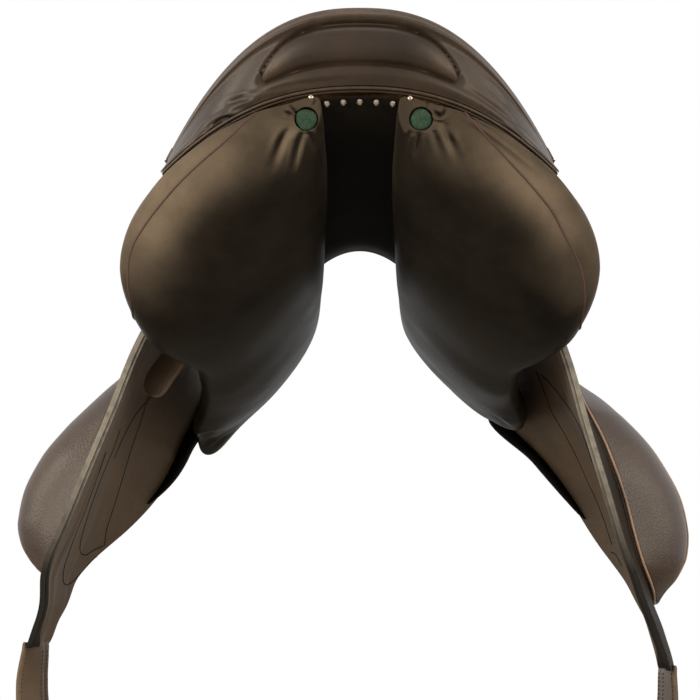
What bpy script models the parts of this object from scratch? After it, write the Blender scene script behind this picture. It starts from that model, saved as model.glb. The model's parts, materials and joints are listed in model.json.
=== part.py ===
"""Single-flap jumping saddle with external knee blocks.

Metres, +Z up. +Y points to the horse's head, +X to the rider's right.
The origin is under the seat's lowest point, on the underside of the channel's roof.
Points given as (x, z) or (x, y, z) are for the right side; the left side is mirrored.
"""
import math

import bmesh
import bpy
import numpy as np
from mathutils import Matrix, Vector

# Clearances
GAP = 0.0003            # between touching pieces
RUN = 0.0006            # round a piece that moves
SHEET_GAP = 0.0009      # between leather sheets that follow the same curved surface

# Seat, along its centre line
SEAT_LOW = 0.045        # lowest point of the seat over the channel's roof
CANTLE_TOP = 0.145      # height of the cantle's rim
CANTLE_REAR = -0.232    # how far back the rim stands
POMMEL_TOP = 0.081      # height of the pommel
POMMEL_FRONT = 0.256    # how far forward the pommel reaches
COVER = 0.003           # thickness of the seat's leather
FOAM = 0.011            # thickness of the seat's foam
WEB = 0.0012            # thickness of the webbing

# Cantle
CANTLE_HALF = 0.153     # half of the rim's width
CANTLE_DROP = 0.098     # fall of the rim from its top to its side ends
CANTLE_SIDE_Y = -0.133  # where the rim ends at the sides
FACE_HEIGHT = 0.0585    # height of the cantle's back face on the centre line
FACE_BULGE = 0.004      # how far the back face swells
WELT_HALF = 0.155       # half of the welt's width
WELT_DROP = 0.058       # fall of the welt from its middle to its ends
WELT_REAR = -0.227      # how far back the welt stands
WELT_SIDE_Y = -0.176    # where the welt ends at the sides
WELT_RADIUS = 0.0026
WELT_SEAT = 0.0031      # from the facing's lower edge to the welt
FACING = 0.003          # thickness of the facing leather
CRESCENT_HALF = 0.0755  # half of the crescent pad's width
CRESCENT_THICK = 0.006

# Skirt line: the straight line where flap and skirt hang, on the right side
LINE_X = 0.0965         # distance from the centre plane at y = 0
LINE_X_SLOPE = -0.116   # change of that for each metre forward
LINE_Z = 0.029          # height at y = 0
LINE_Z_SLOPE = 0.030

# Tree
RAIL_THICK = 0.008
TREE_CANTLE = 0.006     # thickness of the tree's cantle, under the rails' ends
RAIL_EDGE = 0.8         # outer edge of the rails, as a share of the seat's half width
SPRING_THICK = 0.0012
ARCH_Y = 0.2088         # middle of the head arch
ARCH_WIDTH = 0.030      # along Y
ARCH_THICK = 0.011
PLATE_THICK = 0.0018    # head plate and gullet plate
PLATE_WIDTH = 0.021
POCKET_WIDTH = 0.042    # width of the leather pocket over each tree point

# Stirrup bars
BAR_REAR = 0.070
BAR_FRONT = 0.182
BAR_HEIGHT = 0.015
BAR_THICK = 0.006
BAR_INSET = 0.0056      # from the rail's nominal edge in to the bar's plate
BAR_SLOT = 0.011        # room for the stirrup leather
BAR_PLATE = 0.0025
BAR_PLATE_HEIGHT = 0.0205
BAR_Z = 0.002           # lower edge of the bar
BAR_NOTCH = 0.0066      # room round the bar in the flap's notch
CATCH_LENGTH = 0.014
CATCH_EYE = 0.004       # radius of the catch's eye
RIVET_RADIUS = 0.0025
RIVET_HEAD = 0.0016

# Flaps
FLAP_THICK = 0.0045
FLAP_BOTTOM = -0.343
FLAP_BOW = 0.014        # how far its middle bows outward
FLAP_TURN = 0.034       # how far its front part turns in
SPLAY_LEFT = 2.1        # degrees that the flap hangs further out than its own form
SPLAY_RIGHT = -4.1
LINING_THICK = 0.0025
LINING_MARGIN = 0.0045  # how far the lining stays inside the flap's edge
BILLET_WEB = 0.0022     # thickness of the web inside the flap
BILLET_WEB_WIDTH = 0.056
BILLET_Y = 0.042        # middle of the billets along Y
WEB_TOP = -0.036        # top end of the billet web
WEB_SEAT = 0.0019       # from the flap's inner face to the web

# Knee blocks
BLOCK_HEIGHT = 0.0560   # how far the block stands out of the flap
BLOCK_EDGE = 0.0022     # thickness at its edge
BLOCK_SEAT = 0.0038     # from the flap's outer face to the block's base
BLOCK_CREST = 0.30      # where its highest line runs, as a share from its rear edge
BLOCK_TOP = -0.098
BLOCK_BOTTOM = -0.302

# Skirts
SKIRT_THICK = 0.0032
SKIRT_REAR = -0.046
SKIRT_FRONT = 0.214
SKIRT_DROP = 0.106      # from the skirt line to its lowest point

# Billets
BILLET_WIDTH = 0.027
BILLET_THICK = 0.0042
BILLET_LENGTH = 0.300
BILLET_TWIST_LEFT = 50.0  # degrees, the turn of their faces towards the rear
BILLET_TWIST_RIGHT = 20.0
BILLET_HOLES = 6
BILLET_STEPS = 12       # straight pieces of the billet's curve; the holes are one apart
BILLET_HOLE_RADIUS = 0.0022

# Channel and panels
CHANNEL_REAR = 0.0295   # half of the channel's width at the rear
CHANNEL_FRONT = 0.037   # half of it at the front
CHANNEL_COVER = 0.002
ROOF_CROWN_REAR = 0.002 # how far the roof's edges lie below its middle, at the rear end
ROOF_CROWN = 0.0155     # and from the waist on
NAIL_RADIUS = 0.0028
NAIL_STEP = 0.0125
NAILS = 5
PLUG_RADIUS = 0.0080
PLUG_DEPTH = 0.0055
PLUG_X = 0.0430
PLUG_Z = 0.0600
KEEPER_WIDTH = 0.021
KEEPER_THICK = 0.003
KEEPER_OUT_LEFT = 0.008  # how much further out the left tab's end stands, with its flap
POCKET = 0.002          # leather of the pocket over a tree point
PAD_SEAT = 0.0030        # from the lining to the pad's base
FRONT_PAD = 0.009       # how far the pad at the flap's front edge stands in from the lining


def smooth(*pairs):
    """Return a function through (key, values) pairs, without overshoot."""
    keys = np.array([pair[0] for pair in pairs], dtype=float)
    rows = np.array([np.atleast_1d(pair[1]) for pair in pairs], dtype=float)
    steps = np.diff(keys)[:, None]
    slopes = np.diff(rows, axis=0) / steps
    tangents = np.zeros_like(rows)
    tangents[0] = slopes[0]
    tangents[-1] = slopes[-1]
    for i in range(1, len(keys) - 1):
        before, after = slopes[i - 1], slopes[i]
        same = before * after > 0
        w1 = 2 * steps[i] + steps[i - 1]
        w2 = steps[i] + 2 * steps[i - 1]
        with np.errstate(divide="ignore", invalid="ignore"):
            mean = (w1 + w2) / (w1 / before + w2 / after)
        tangents[i] = np.where(same, mean, 0.0)

    def at(key):
        key = min(max(key, keys[0]), keys[-1])
        i = min(int(np.searchsorted(keys, key, side="right")) - 1, len(keys) - 2)
        step = keys[i + 1] - keys[i]
        t = (key - keys[i]) / step
        value = ((1 + 2 * t) * (1 - t) ** 2 * rows[i] + t * (1 - t) ** 2 * step * tangents[i]
                 + t * t * (3 - 2 * t) * rows[i + 1] + t * t * (t - 1) * step * tangents[i + 1])
        return value if len(value) > 1 else float(value[0])

    return at


def ease(t):
    """Go from 0 to 1 with level ends."""
    t = min(max(t, 0.0), 1.0)
    return t * t * (3 - 2 * t)


def spread(first, last, count):
    """Return evenly spaced values from first to last."""
    return [first + (last - first) * i / (count - 1) for i in range(count)]


def ring_through(points, parts):
    """Return a closed smooth ring through points, with parts steps between two of them."""
    count = len(points)
    ring = []
    for i in range(count):
        a, b, c, d = (np.array(points[(i + k) % count]) for k in (-1, 0, 1, 2))
        for k in range(parts):
            t = k / parts
            ring.append(0.5 * (2 * b + (c - a) * t + (2 * a - 5 * b + 4 * c - d) * t ** 2
                               + (3 * b - a - 3 * c + d) * t ** 3))
    return ring


def leather(name, colour, roughness=0.55, metallic=0.0):
    """Return a plain material."""
    material = bpy.data.materials.new(name)
    material.use_nodes = True
    shader = material.node_tree.nodes["Principled BSDF"]
    shader.inputs["Base Color"].default_value = (*colour, 1.0)
    shader.inputs["Roughness"].default_value = roughness
    shader.inputs["Metallic"].default_value = metallic
    return material


BROWN = (0.060, 0.042, 0.028)
BROWN_GRAIN = (0.075, 0.052, 0.038)
SUEDE = (0.110, 0.085, 0.060)
BLACK = (0.012, 0.011, 0.010)
FELT = (0.020, 0.085, 0.050)
BEECH = (0.420, 0.280, 0.150)
STEEL = (0.550, 0.550, 0.550)
LINEN = (0.550, 0.480, 0.360)
FOAM_YELLOW = (0.700, 0.620, 0.400)


def finish(name, bm, colour, origin=(0, 0, 0), parent=None, roughness=0.55, metallic=0.0):
    """Turn a closed bmesh into a named object whose origin is at a point of the design frame."""
    bmesh.ops.remove_doubles(bm, verts=bm.verts, dist=0.000001)
    bmesh.ops.recalc_face_normals(bm, faces=bm.faces)
    bmesh.ops.translate(bm, verts=bm.verts, vec=-Vector(origin))
    mesh = bpy.data.meshes.new(name)
    bm.to_mesh(mesh)
    bm.free()
    mesh.shade_smooth()
    mesh.set_sharp_from_angle(angle=math.radians(40))
    mesh.materials.append(leather(name, colour, roughness, metallic))
    obj = bpy.data.objects.new(name, mesh)
    bpy.context.scene.collection.objects.link(obj)
    if parent is None:
        obj.location = origin
    else:
        obj.parent = parent
    return obj


def pivot(name, at, axis=(0, 1, 0), angle=0.0, parent=None, parent_at=(0, 0, 0)):
    """Return an empty on a joint's axis, turned about it by an angle in degrees."""
    empty = bpy.data.objects.new(name, None)
    empty.empty_display_size = 0.02
    bpy.context.scene.collection.objects.link(empty)
    turn = Matrix.Rotation(math.radians(angle), 4, Vector(axis))
    empty.matrix_local = Matrix.Translation(Vector(at) - Vector(parent_at)) @ turn
    if parent is not None:
        empty.parent = parent
        empty.matrix_parent_inverse = Matrix.Identity(4)
    return empty


def shell_between(outer, inner):
    """Return a closed bmesh between two grids of points of the same size."""
    bm = bmesh.new()
    layers = [[[bm.verts.new(point) for point in row] for row in grid] for grid in (outer, inner)]
    rows, columns = len(outer), len(outer[0])
    for layer in layers:
        for i in range(rows - 1):
            for j in range(columns - 1):
                bm.faces.new((layer[i][j], layer[i + 1][j], layer[i + 1][j + 1], layer[i][j + 1]))
    rim = [(i, 0) for i in range(rows)] + [(rows - 1, j) for j in range(1, columns)]
    rim += [(i, columns - 1) for i in range(rows - 2, -1, -1)]
    rim += [(0, j) for j in range(columns - 2, 0, -1)]
    for (i, j), (k, m) in zip(rim, rim[1:] + rim[:1]):
        bm.faces.new((layers[0][i][j], layers[0][k][m], layers[1][k][m], layers[1][i][j]))
    return bm


def offset(grid, distance, hint):
    """Return a grid moved along its own normals, on the side that hint points to."""
    points = np.array(grid, dtype=float)
    along = np.gradient(points, axis=0)
    across = np.gradient(points, axis=1)
    normals = np.cross(along, across)
    normals /= np.maximum(np.linalg.norm(normals, axis=2, keepdims=True), 1e-12)
    if np.mean(normals @ np.array(hint, dtype=float)) < 0:
        normals = -normals
    return points + normals * distance


def loft(rings, domes=(0.0, 0.0)):
    """Return a closed bmesh through rings, its end caps raised by the two domes."""
    bm = bmesh.new()
    rows = [[bm.verts.new(point) for point in ring] for ring in rings]
    count = len(rows[0])
    for first, second in zip(rows, rows[1:]):
        for i in range(count):
            bm.faces.new((first[i], first[(i + 1) % count], second[(i + 1) % count], second[i]))
    for ring, neighbour, dome in ((rings[0], rings[1], domes[0]), (rings[-1], rings[-2], domes[1])):
        middle = np.mean(np.array(ring), axis=0)
        away = middle - np.mean(np.array(neighbour), axis=0)
        away /= np.linalg.norm(away)
        tip = bm.verts.new(middle + away * dome)
        row = rows[0] if ring is rings[0] else rows[-1]
        for i in range(count):
            bm.faces.new((row[i], row[(i + 1) % count], tip))
    return bm


def tube(path, radius, sides):
    """Return a closed bmesh of a round cord along a path."""
    points = np.array(path, dtype=float)
    tangents = np.gradient(points, axis=0)
    rings = []
    for point, tangent in zip(points, tangents):
        tangent /= np.linalg.norm(tangent)
        side = np.cross(tangent, (0.0, 0.6, 0.8))
        side /= np.linalg.norm(side)
        up = np.cross(side, tangent)
        angles = [2 * math.pi * k / sides for k in range(sides)]
        rings.append([point + radius * (math.cos(a) * side + math.sin(a) * up) for a in angles])
    return loft(rings)


def strap(path, face, width, thickness):
    """Return a closed bmesh of a flat strap along a path.

    face gives its face's normal at each point, thickness its thickness there.
    """
    points = np.array(path, dtype=float)
    tangents = np.gradient(points, axis=0)
    rings = []
    for point, tangent, normal, thick in zip(points, tangents, face, thickness):
        tangent /= np.linalg.norm(tangent)
        across = np.cross(tangent, normal)
        across /= np.linalg.norm(across)
        out = np.cross(across, tangent)
        corners = ((-1, -1), (1, -1), (1, 1), (-1, 1))
        rings.append([point + across * width / 2 * u + out * thick / 2 * v for u, v in corners])
    return loft(rings)


def prism(outline, low, high, axis="Z"):
    """Return a closed bmesh: an outline in XY raised along Z, or one in YZ along X."""
    bm = bmesh.new()
    rows = []
    for level in (low, high):
        if axis == "Z":
            rows.append([bm.verts.new((a, b, level)) for a, b in outline])
        else:
            rows.append([bm.verts.new((level, a, b)) for a, b in outline])
    bm.faces.new(rows[0])
    bm.faces.new(list(reversed(rows[1])))
    count = len(outline)
    for i in range(count):
        k = (i + 1) % count
        bm.faces.new((rows[0][i], rows[0][k], rows[1][k], rows[1][i]))
    return bm


def mirrored(points, side):
    """Return points of the right side on the given side: 1 is right, -1 is left."""
    return [(x * side, y, z) for x, y, z in points]


def mirror_grid(grid, side):
    """Return a grid of the right side on the given side."""
    return [mirrored(row, side) for row in grid]


def cut(obj, cutter):
    """Cut one object out of another, and hide the cutter."""
    cutter.hide_render = True
    cutter.display_type = "WIRE"
    modifier = obj.modifiers.new("cut", "BOOLEAN")
    modifier.operation = "DIFFERENCE"
    modifier.object = cutter


# Lines and surfaces that the pieces share

def line_x(y):
    """Return the skirt line's distance from the centre plane."""
    return LINE_X + LINE_X_SLOPE * y


def line_z(y):
    """Return the skirt line's height."""
    return LINE_Z + LINE_Z_SLOPE * y


def line_axis(side):
    """Return the skirt line's direction."""
    return Vector((LINE_X_SLOPE * side, 1.0, LINE_Z_SLOPE)).normalized()


def rim_point(s):
    """Return a point of the cantle's rim; s runs from -1 at the left end to 1 at the right one."""
    a = abs(s)
    return np.array((CANTLE_HALF * s,
                     CANTLE_REAR + (CANTLE_SIDE_Y - CANTLE_REAR) * a ** 2.5,
                     CANTLE_TOP - CANTLE_DROP * a ** 2.38))


def welt_point(s):
    """Return a point of the lower edge of the cantle's back face."""
    a = abs(s)
    return np.array((WELT_HALF * s,
                     WELT_REAR + (WELT_SIDE_Y - WELT_REAR) * a ** 2.4,
                     CANTLE_TOP - FACE_HEIGHT - WELT_DROP * a ** 2.3))


def edge(y):
    """Return the seat's edge over the skirt line."""
    return (line_x(y) - GAP, y, line_z(y) + 0.0015)


RIM_END = rim_point(1.0)

# Stations of the seat from pommel (0) to rim (1): centre y and z, edge x, y and z, and the
# power of the fall from the centre line to the edge.
SEAT = smooth(
    (0.00, (POMMEL_FRONT - 0.001, POMMEL_TOP - 0.030, 0.062, POMMEL_FRONT - 0.014, 0.018, 2.2)),
    (0.03, (POMMEL_FRONT, POMMEL_TOP - 0.017, 0.066, POMMEL_FRONT - 0.015, 0.026, 2.3)),
    (0.07, (POMMEL_FRONT - 0.007, POMMEL_TOP - 0.004, 0.069, POMMEL_FRONT - 0.022, 0.032, 2.4)),
    (0.12, (POMMEL_FRONT - 0.031, POMMEL_TOP, *edge(0.214), 2.5)),
    (0.22, (0.180, POMMEL_TOP - 0.008, *edge(0.175), 2.6)),
    (0.34, (0.120, SEAT_LOW + 0.014, *edge(0.120), 2.7)),
    (0.45, (0.060, SEAT_LOW + 0.003, *edge(0.062), 2.8)),
    (0.56, (0.000, SEAT_LOW, *edge(0.005), 2.8)),
    (0.67, (-0.060, SEAT_LOW + 0.007, *edge(-0.050), 2.7)),
    (0.76, (-0.110, SEAT_LOW + 0.021, CANTLE_HALF * 0.82, -0.092, 0.035, 2.6)),
    (0.83, (-0.150, SEAT_LOW + 0.041, CANTLE_HALF * 0.94, -0.113, 0.041, 2.5)),
    (0.89, (-0.185, CANTLE_TOP - 0.033, CANTLE_HALF * 0.98, -0.124, 0.0445, 2.45)),
    (0.94, (CANTLE_REAR + 0.022, CANTLE_TOP - 0.012, CANTLE_HALF * 0.996, -0.129, 0.0462, 2.4)),
    (0.98, (CANTLE_REAR + 0.008, CANTLE_TOP - 0.002, *RIM_END, 2.38)),
    (1.00, (CANTLE_REAR, CANTLE_TOP, *RIM_END, 2.38)),
)


def seat_point(t, s):
    """Return a point of the seat's surface; s runs from -1 at the left edge to 1 at the right."""
    yc, zc, xe, ye, ze, power = SEAT(t)
    a = abs(s)
    return (xe * s, yc + (ye - yc) * a ** 2.5, zc + (ze - zc) * a ** power)


# All layers of the seat are made on one grid, so that they nest.
SEAT_T = (0.0, 0.03, 0.07, 0.12, 0.195, 0.26, 0.34, 0.45, 0.56, 0.67, 0.76, 0.795, 0.83, 0.86, 0.89,
          0.915, 0.94, 0.965, 0.985, 1.0)
SEAT_S = spread(-1.0, 1.0, 21)
SEAT_GRID = [[seat_point(t, s) for s in SEAT_S] for t in SEAT_T]


def seat_layer(name, t_range, s_range, depth, thickness, colour, **finish_values):
    """Make a layer that lies a depth under the seat's surface, between two t and two s."""
    rows = [i for i, t in enumerate(SEAT_T) if t_range[0] <= t <= t_range[1]]
    columns = [j for j, s in enumerate(SEAT_S) if s_range[0] <= s + 0.001 and s - 0.001 <= s_range[1]]
    window = np.ix_(rows, columns)
    top = offset(SEAT_GRID, -depth, (0, 0, 1))[window]
    low = offset(SEAT_GRID, -depth - thickness, (0, 0, 1))[window]
    return finish(name, shell_between(top, low), colour, **finish_values)


# Flap surface, right side: distance from the centre plane by height, and what y adds to it
FLAP_BASE = smooth((-0.345, 0.269), (-0.322, 0.2615), (-0.290, 0.2475), (-0.250, 0.230),
                   (-0.201, 0.211), (-0.150, 0.191), (-0.097, 0.1715), (-0.040, 0.141),
                   (0.000, 0.115), (LINE_Z, LINE_X + GAP))
FLAP_REAR = smooth((-0.343, 0.010), (-0.340, 0.003), (-0.333, -0.005), (-0.322, -0.012),
                   (-0.285, -0.038), (-0.230, -0.060), (-0.170, -0.078), (-0.110, -0.089),
                   (-0.070, -0.092), (-0.030, -0.080), (0.000, -0.060), (0.030, -0.046))
FLAP_FRONT = smooth((-0.343, 0.074), (-0.340, 0.081), (-0.333, 0.086), (-0.322, 0.092),
                    (-0.290, 0.112), (-0.235, 0.178), (-0.180, 0.232), (-0.130, 0.258),
                    (-0.080, 0.262), (-0.030, 0.246), (0.000, 0.228), (0.030, 0.206))


# The flaps' own forms by height, left and right: how far the leather has bent out, and how far
# its front edge turns out for each metre from its rear edge
FLAP_FORM = {-1: smooth((-0.345, (-0.006, -0.160)), (-0.310, (-0.004, -0.130)),
                        (-0.280, (0.000, -0.085)), (-0.235, (0.000, -0.066)),
                        (-0.190, (0.000, -0.034)), (-0.150, (0.000, 0.000))),
             1: smooth((-0.345, (0.009, 0.100)), (-0.310, (0.007, 0.085)),
                       (-0.280, (0.002, 0.072)), (-0.240, (0.000, 0.085)),
                       (-0.200, (0.000, 0.098)), (-0.160, (0.000, 0.070)),
                       (-0.124, (0.000, 0.000)))}


def near_line(z):
    """Return the share of the skirt line's slant that a height takes part in."""
    return ease((z + 0.070) / 0.096)


def flap_x(y, z, side):
    """Return how far the flap's outer face stands from the centre plane."""
    top = near_line(z)
    z -= LINE_Z_SLOPE * y * top
    low = 1 - ease((z + 0.040) / 0.070)
    bow = FLAP_BOW * low * math.exp(-((y - 0.060) / 0.085) ** 2)
    turned = ease((y - 0.120) / 0.150) * ease((-0.045 - z) / 0.070) * ease((z + 0.330) / 0.110)
    slant = (line_x(y) - LINE_X) * top
    bent, twist = FLAP_FORM[side](z)
    slant += bent + twist * (y - FLAP_REAR(z))
    return FLAP_BASE(z) + slant + bow - FLAP_TURN * turned + FLAP_THICK


# Heights of the flap's rows, as shares of its length from the top; close where it is curved
FLAP_ROWS = (0.0, 0.03, 0.06, 0.10, 0.145, 0.20, 0.26, 0.295, 0.33, 0.41, 0.49, 0.57, 0.65, 0.73, 0.80,
             0.86, 0.91, 0.95, 0.98, 0.992, 1.0)


def flap_grid(side, top, margin, depth, columns):
    """Return a grid on the flap, a margin inside its edge and a depth under its outer face."""
    first = LINE_Z - GAP
    grid = []
    for share in FLAP_ROWS:
        z = first + (FLAP_BOTTOM - first) * share
        if z > top:
            continue
        z = max(z, FLAP_BOTTOM + margin)
        rear = FLAP_REAR(z) + margin
        front = FLAP_FRONT(z) - margin
        if grid and abs(grid[-1][0][2] - z) < 0.0002:
            break
        row = []
        for y in spread(rear, front, columns):
            height = z + LINE_Z_SLOPE * y * near_line(z)
            row.append((flap_x(y, height, side) - depth, y, height))
        grid.append(row)
    return grid


# Panel sections, right side. Each has seven points, from the channel's upper edge round the
# lower face to the outer side and back over the top.
def channel_x(y):
    """Return half of the channel's width."""
    return CHANNEL_REAR + (CHANNEL_FRONT - CHANNEL_REAR) * ease((y + 0.230) / 0.450)


# Height of the channel's roof on the centre line
ROOF = smooth((-0.229, CANTLE_TOP - FACE_HEIGHT - 0.0100), (-0.200, 0.0612), (-0.160, 0.0465),
              (-0.110, 0.0300), (-0.060, 0.0135), (0.000, 0.0000), (0.060, 0.0045),
              (0.120, 0.0135), (0.180, 0.0240), (0.240, 0.0360))


def roof(u, y):
    """Return the roof's height; u is 0 on the centre line and 1 at its edges."""
    crown = ROOF_CROWN_REAR + (ROOF_CROWN - ROOF_CROWN_REAR) * ease((y + 0.200) / 0.200)
    return ROOF(y) - crown * u * u


def under_welt(x):
    """Return the height just under the welt at x."""
    return welt_point(x / WELT_HALF)[2] - 2 * WELT_RADIUS - WELT_SEAT - 4 * GAP


PANEL = smooth(
    (-0.229, (0.050, 0.058, 0.044, 0.080, 0.044, 0.092, 0.052, 0.082, under_welt(0.082),
              0.056, under_welt(0.056))),
    (-0.220, (0.036, 0.066, 0.014, 0.104, 0.008, 0.128, 0.028, 0.112, under_welt(0.112),
              0.068, under_welt(0.068))),
    (-0.200, (0.014, 0.076, -0.022, 0.130, -0.030, 0.160, 0.002, 0.138, under_welt(0.138),
              0.080, under_welt(0.080) - 0.002)),
    (-0.170, (-0.008, 0.086, -0.054, 0.152, -0.088, 0.185, -0.048, 0.162, 0.012, 0.092, 0.044)),
    (-0.135, (-0.026, 0.090, -0.080, 0.150, -0.104, 0.177, -0.068, 0.152, 0.010, 0.090, 0.0275)),
    (-0.095, (-0.038, 0.088, -0.092, 0.134, -0.112, 0.148, -0.088, 0.110, 0.004, 0.078, 0.016)),
    (-0.050, (-0.047, 0.087, -0.100, 0.122, -0.116, 0.133, -0.092, 0.090, -0.010, 0.070, 0.004)),
    (0.010, (-0.054, 0.082, -0.108, 0.120, -0.128, 0.132, -0.104, 0.086, -0.014, 0.066, -0.004)),
    (0.080, (-0.058, 0.078, -0.113, 0.122, -0.138, 0.137, -0.116, 0.080, -0.018, 0.060, -0.006)),
    (0.140, (-0.056, 0.077, -0.111, 0.132, -0.149, 0.145, -0.128, 0.076, -0.024, 0.054, -0.004)),
    (0.200, (-0.048, 0.079, -0.108, 0.134, -0.151, 0.142, -0.132, 0.074, -0.026, 0.048, 0.002)),
    (0.235, (-0.040, 0.080, -0.100, 0.123, -0.140, 0.131, -0.120, 0.074, -0.024, 0.050, 0.006)),
    (0.250, (-0.026, 0.080, -0.084, 0.106, -0.112, 0.113, -0.100, 0.078, -0.040, 0.056, -0.002)),
)


def panel_ring(y, parts=3):
    """Return the panel's section at y."""
    b_z, c_x, c_z, d_x, d_z, e_x, e_z, f_x, f_z, g_x, g_z = PANEL(y)
    inner = channel_x(y) + 0.0015
    top = min(roof(1, y) + CHANNEL_COVER - 0.0005, g_z + 0.014)
    points = [(inner, top), (inner + 0.002, b_z), (c_x, c_z), (d_x, d_z), (e_x, e_z),
              (f_x, f_z), (g_x, g_z)]
    return [(x, y, z) for x, z in ring_through(points, parts)]


def build_seat():
    """Make the seat's cover, foam and webs."""
    seat_layer("seat_cover", (0.0, 1.0), (-1.0, 1.0), 0.0, COVER, BROWN)
    depth = COVER + GAP
    seat_layer("seat_foam", (0.12, 0.92), (-0.9, 0.9), depth, FOAM, FOAM_YELLOW, roughness=0.9)
    depth += FOAM + GAP
    seat_layer("web_along", (0.19, 0.90), (-0.2, 0.2), depth, WEB, LINEN, roughness=0.9)
    depth += WEB + GAP
    seat_layer("web_across", (0.45, 0.56), (-0.7, 0.7), depth, WEB, LINEN, roughness=0.9)
    return depth + WEB + GAP


def facing_point(s, v):
    """Return a point of the cantle's back face; v is 0 at the rim and 1 at the welt."""
    top = rim_point(s) + np.array((0.0, -0.0012, -COVER - SHEET_GAP))
    low = welt_point(s)
    point = top + (low - top) * v
    point[1] -= FACE_BULGE * math.sin(math.pi * v) * (1 - s * s)
    return point


def crescent_band(s):
    """Return the crescent pad's upper and lower edge as v."""
    t = min(abs(s) * CANTLE_HALF / CRESCENT_HALF, 1.0)
    swell = math.sqrt(max(1 - t ** 3.2, 0.0))
    middle = 0.585 - 0.03 * t
    return middle - 0.325 * swell - 0.01, middle + 0.235 * swell + 0.01


def build_cantle():
    """Make the cantle's back face, its crescent pad and the welt below it."""
    rows = [[facing_point(s, v) for v in spread(0.0, 1.0, 6)] for s in spread(-0.98, 0.98, 27)]
    bm = shell_between(np.array(rows), offset(rows, -FACING, (0, -1, 0)))
    finish("cantle_facing", bm, BROWN)
    outer, base = [], []
    reach = CRESCENT_HALF / CANTLE_HALF
    for s in spread(-reach, reach, 15):
        high, low = crescent_band(s)
        row, back = [], []
        for u in (0.0, 0.08, 0.22, 0.40, 0.60, 0.78, 0.92, 1.0):
            point = facing_point(s, high + (low - high) * u)
            rise = (math.sin(math.pi * u) ** 0.45) * ease((reach - abs(s)) / 0.10)
            row.append(point - np.array((0, SHEET_GAP + 0.0008 + (CRESCENT_THICK - 0.0008) * rise, 0)))
            back.append(point - np.array((0, SHEET_GAP, 0)))
        outer.append(row)
        base.append(back)
    finish("cantle_crescent_pad", shell_between(outer, base), BROWN_GRAIN)
    line = np.array([welt_point(s) for s in spread(-0.96, 0.96, 31)])
    tangents = np.gradient(line, axis=0)
    path = []
    for point, (dx, _, dz) in zip(line, tangents):
        size = math.hypot(dx, dz)
        down = np.array((dz, 0.0, -dx)) / size
        path.append(point + down * (WELT_RADIUS + WELT_SEAT))
    finish("cantle_welt", tube(path, WELT_RADIUS, 6), BROWN)


def build_tree(depth):
    """Make the tree's rails and cantle, and the springs under the rails."""
    for side, word in ((-1, "left"), (1, "right")):
        band = sorted((0.5 * side, RAIL_EDGE * side))
        seat_layer("tree_rail_" + word, (0.195, 0.83), band, depth, RAIL_THICK, BEECH,
                   roughness=0.5)
        band = sorted((0.6 * side, 0.7 * side))
        seat_layer("tree_spring_" + word, (0.26, 0.76), band, depth + RAIL_THICK + GAP,
                   SPRING_THICK, STEEL, roughness=0.3, metallic=1.0)
    seat_layer("tree_cantle", (0.795, 0.89), (-0.7, 0.7), depth + RAIL_THICK + GAP, TREE_CANTLE,
               BEECH, roughness=0.5)


# Centre line of the head arch from its right point to the middle, as (x, z)
ARCH = smooth((0, (0.124, -0.080)), (1, (0.106, -0.044)), (2, (0.081, -0.007)),
              (3, (0.055, 0.025)), (4, (0.029, 0.041)), (5, (0.000, 0.046)))


def arch_path():
    """Return the head arch's centre line from the left point to the right one."""
    right = [ARCH(i) for i in spread(0.0, 5.0, 11)]
    return [(-x, z) for x, z in right] + [(x, z) for x, z in reversed(right[:-1])]


def arch_band(first, last, low, high, width):
    """Return a closed bmesh: a band along part of the arch between two offsets from its line."""
    points = np.array(arch_path())
    tangents = np.gradient(points, axis=0)
    rings = []
    for (x, z), (dx, dz) in list(zip(points, tangents))[first:last]:
        size = math.hypot(dx, dz)
        nx, nz = -dz / size, dx / size
        corners = ((low, -1), (high, -1), (high, 1), (low, 1))
        rings.append([(x + nx * d, ARCH_Y + width / 2 * e, z + nz * d) for d, e in corners])
    return loft(rings)


def build_head():
    """Make the head arch and the plates over and under it."""
    half = ARCH_THICK / 2
    last = len(arch_path())
    finish("tree_head", arch_band(0, last, -half, half, ARCH_WIDTH), BEECH, roughness=0.5)
    finish("head_plate", arch_band(5, last - 5, half + GAP, half + GAP + PLATE_THICK, PLATE_WIDTH),
           STEEL, roughness=0.3, metallic=1.0)
    finish("gullet_plate", arch_band(5, last - 5, -half - GAP - PLATE_THICK, -half - GAP,
                                     PLATE_WIDTH), STEEL, roughness=0.3, metallic=1.0)
    for first, end, word in ((0, 5, "left"), (last - 5, last, "right")):
        finish("point_pocket_" + word, arch_band(first, end, half + GAP, half + GAP + POCKET,
                                                 POCKET_WIDTH), BROWN)


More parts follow.
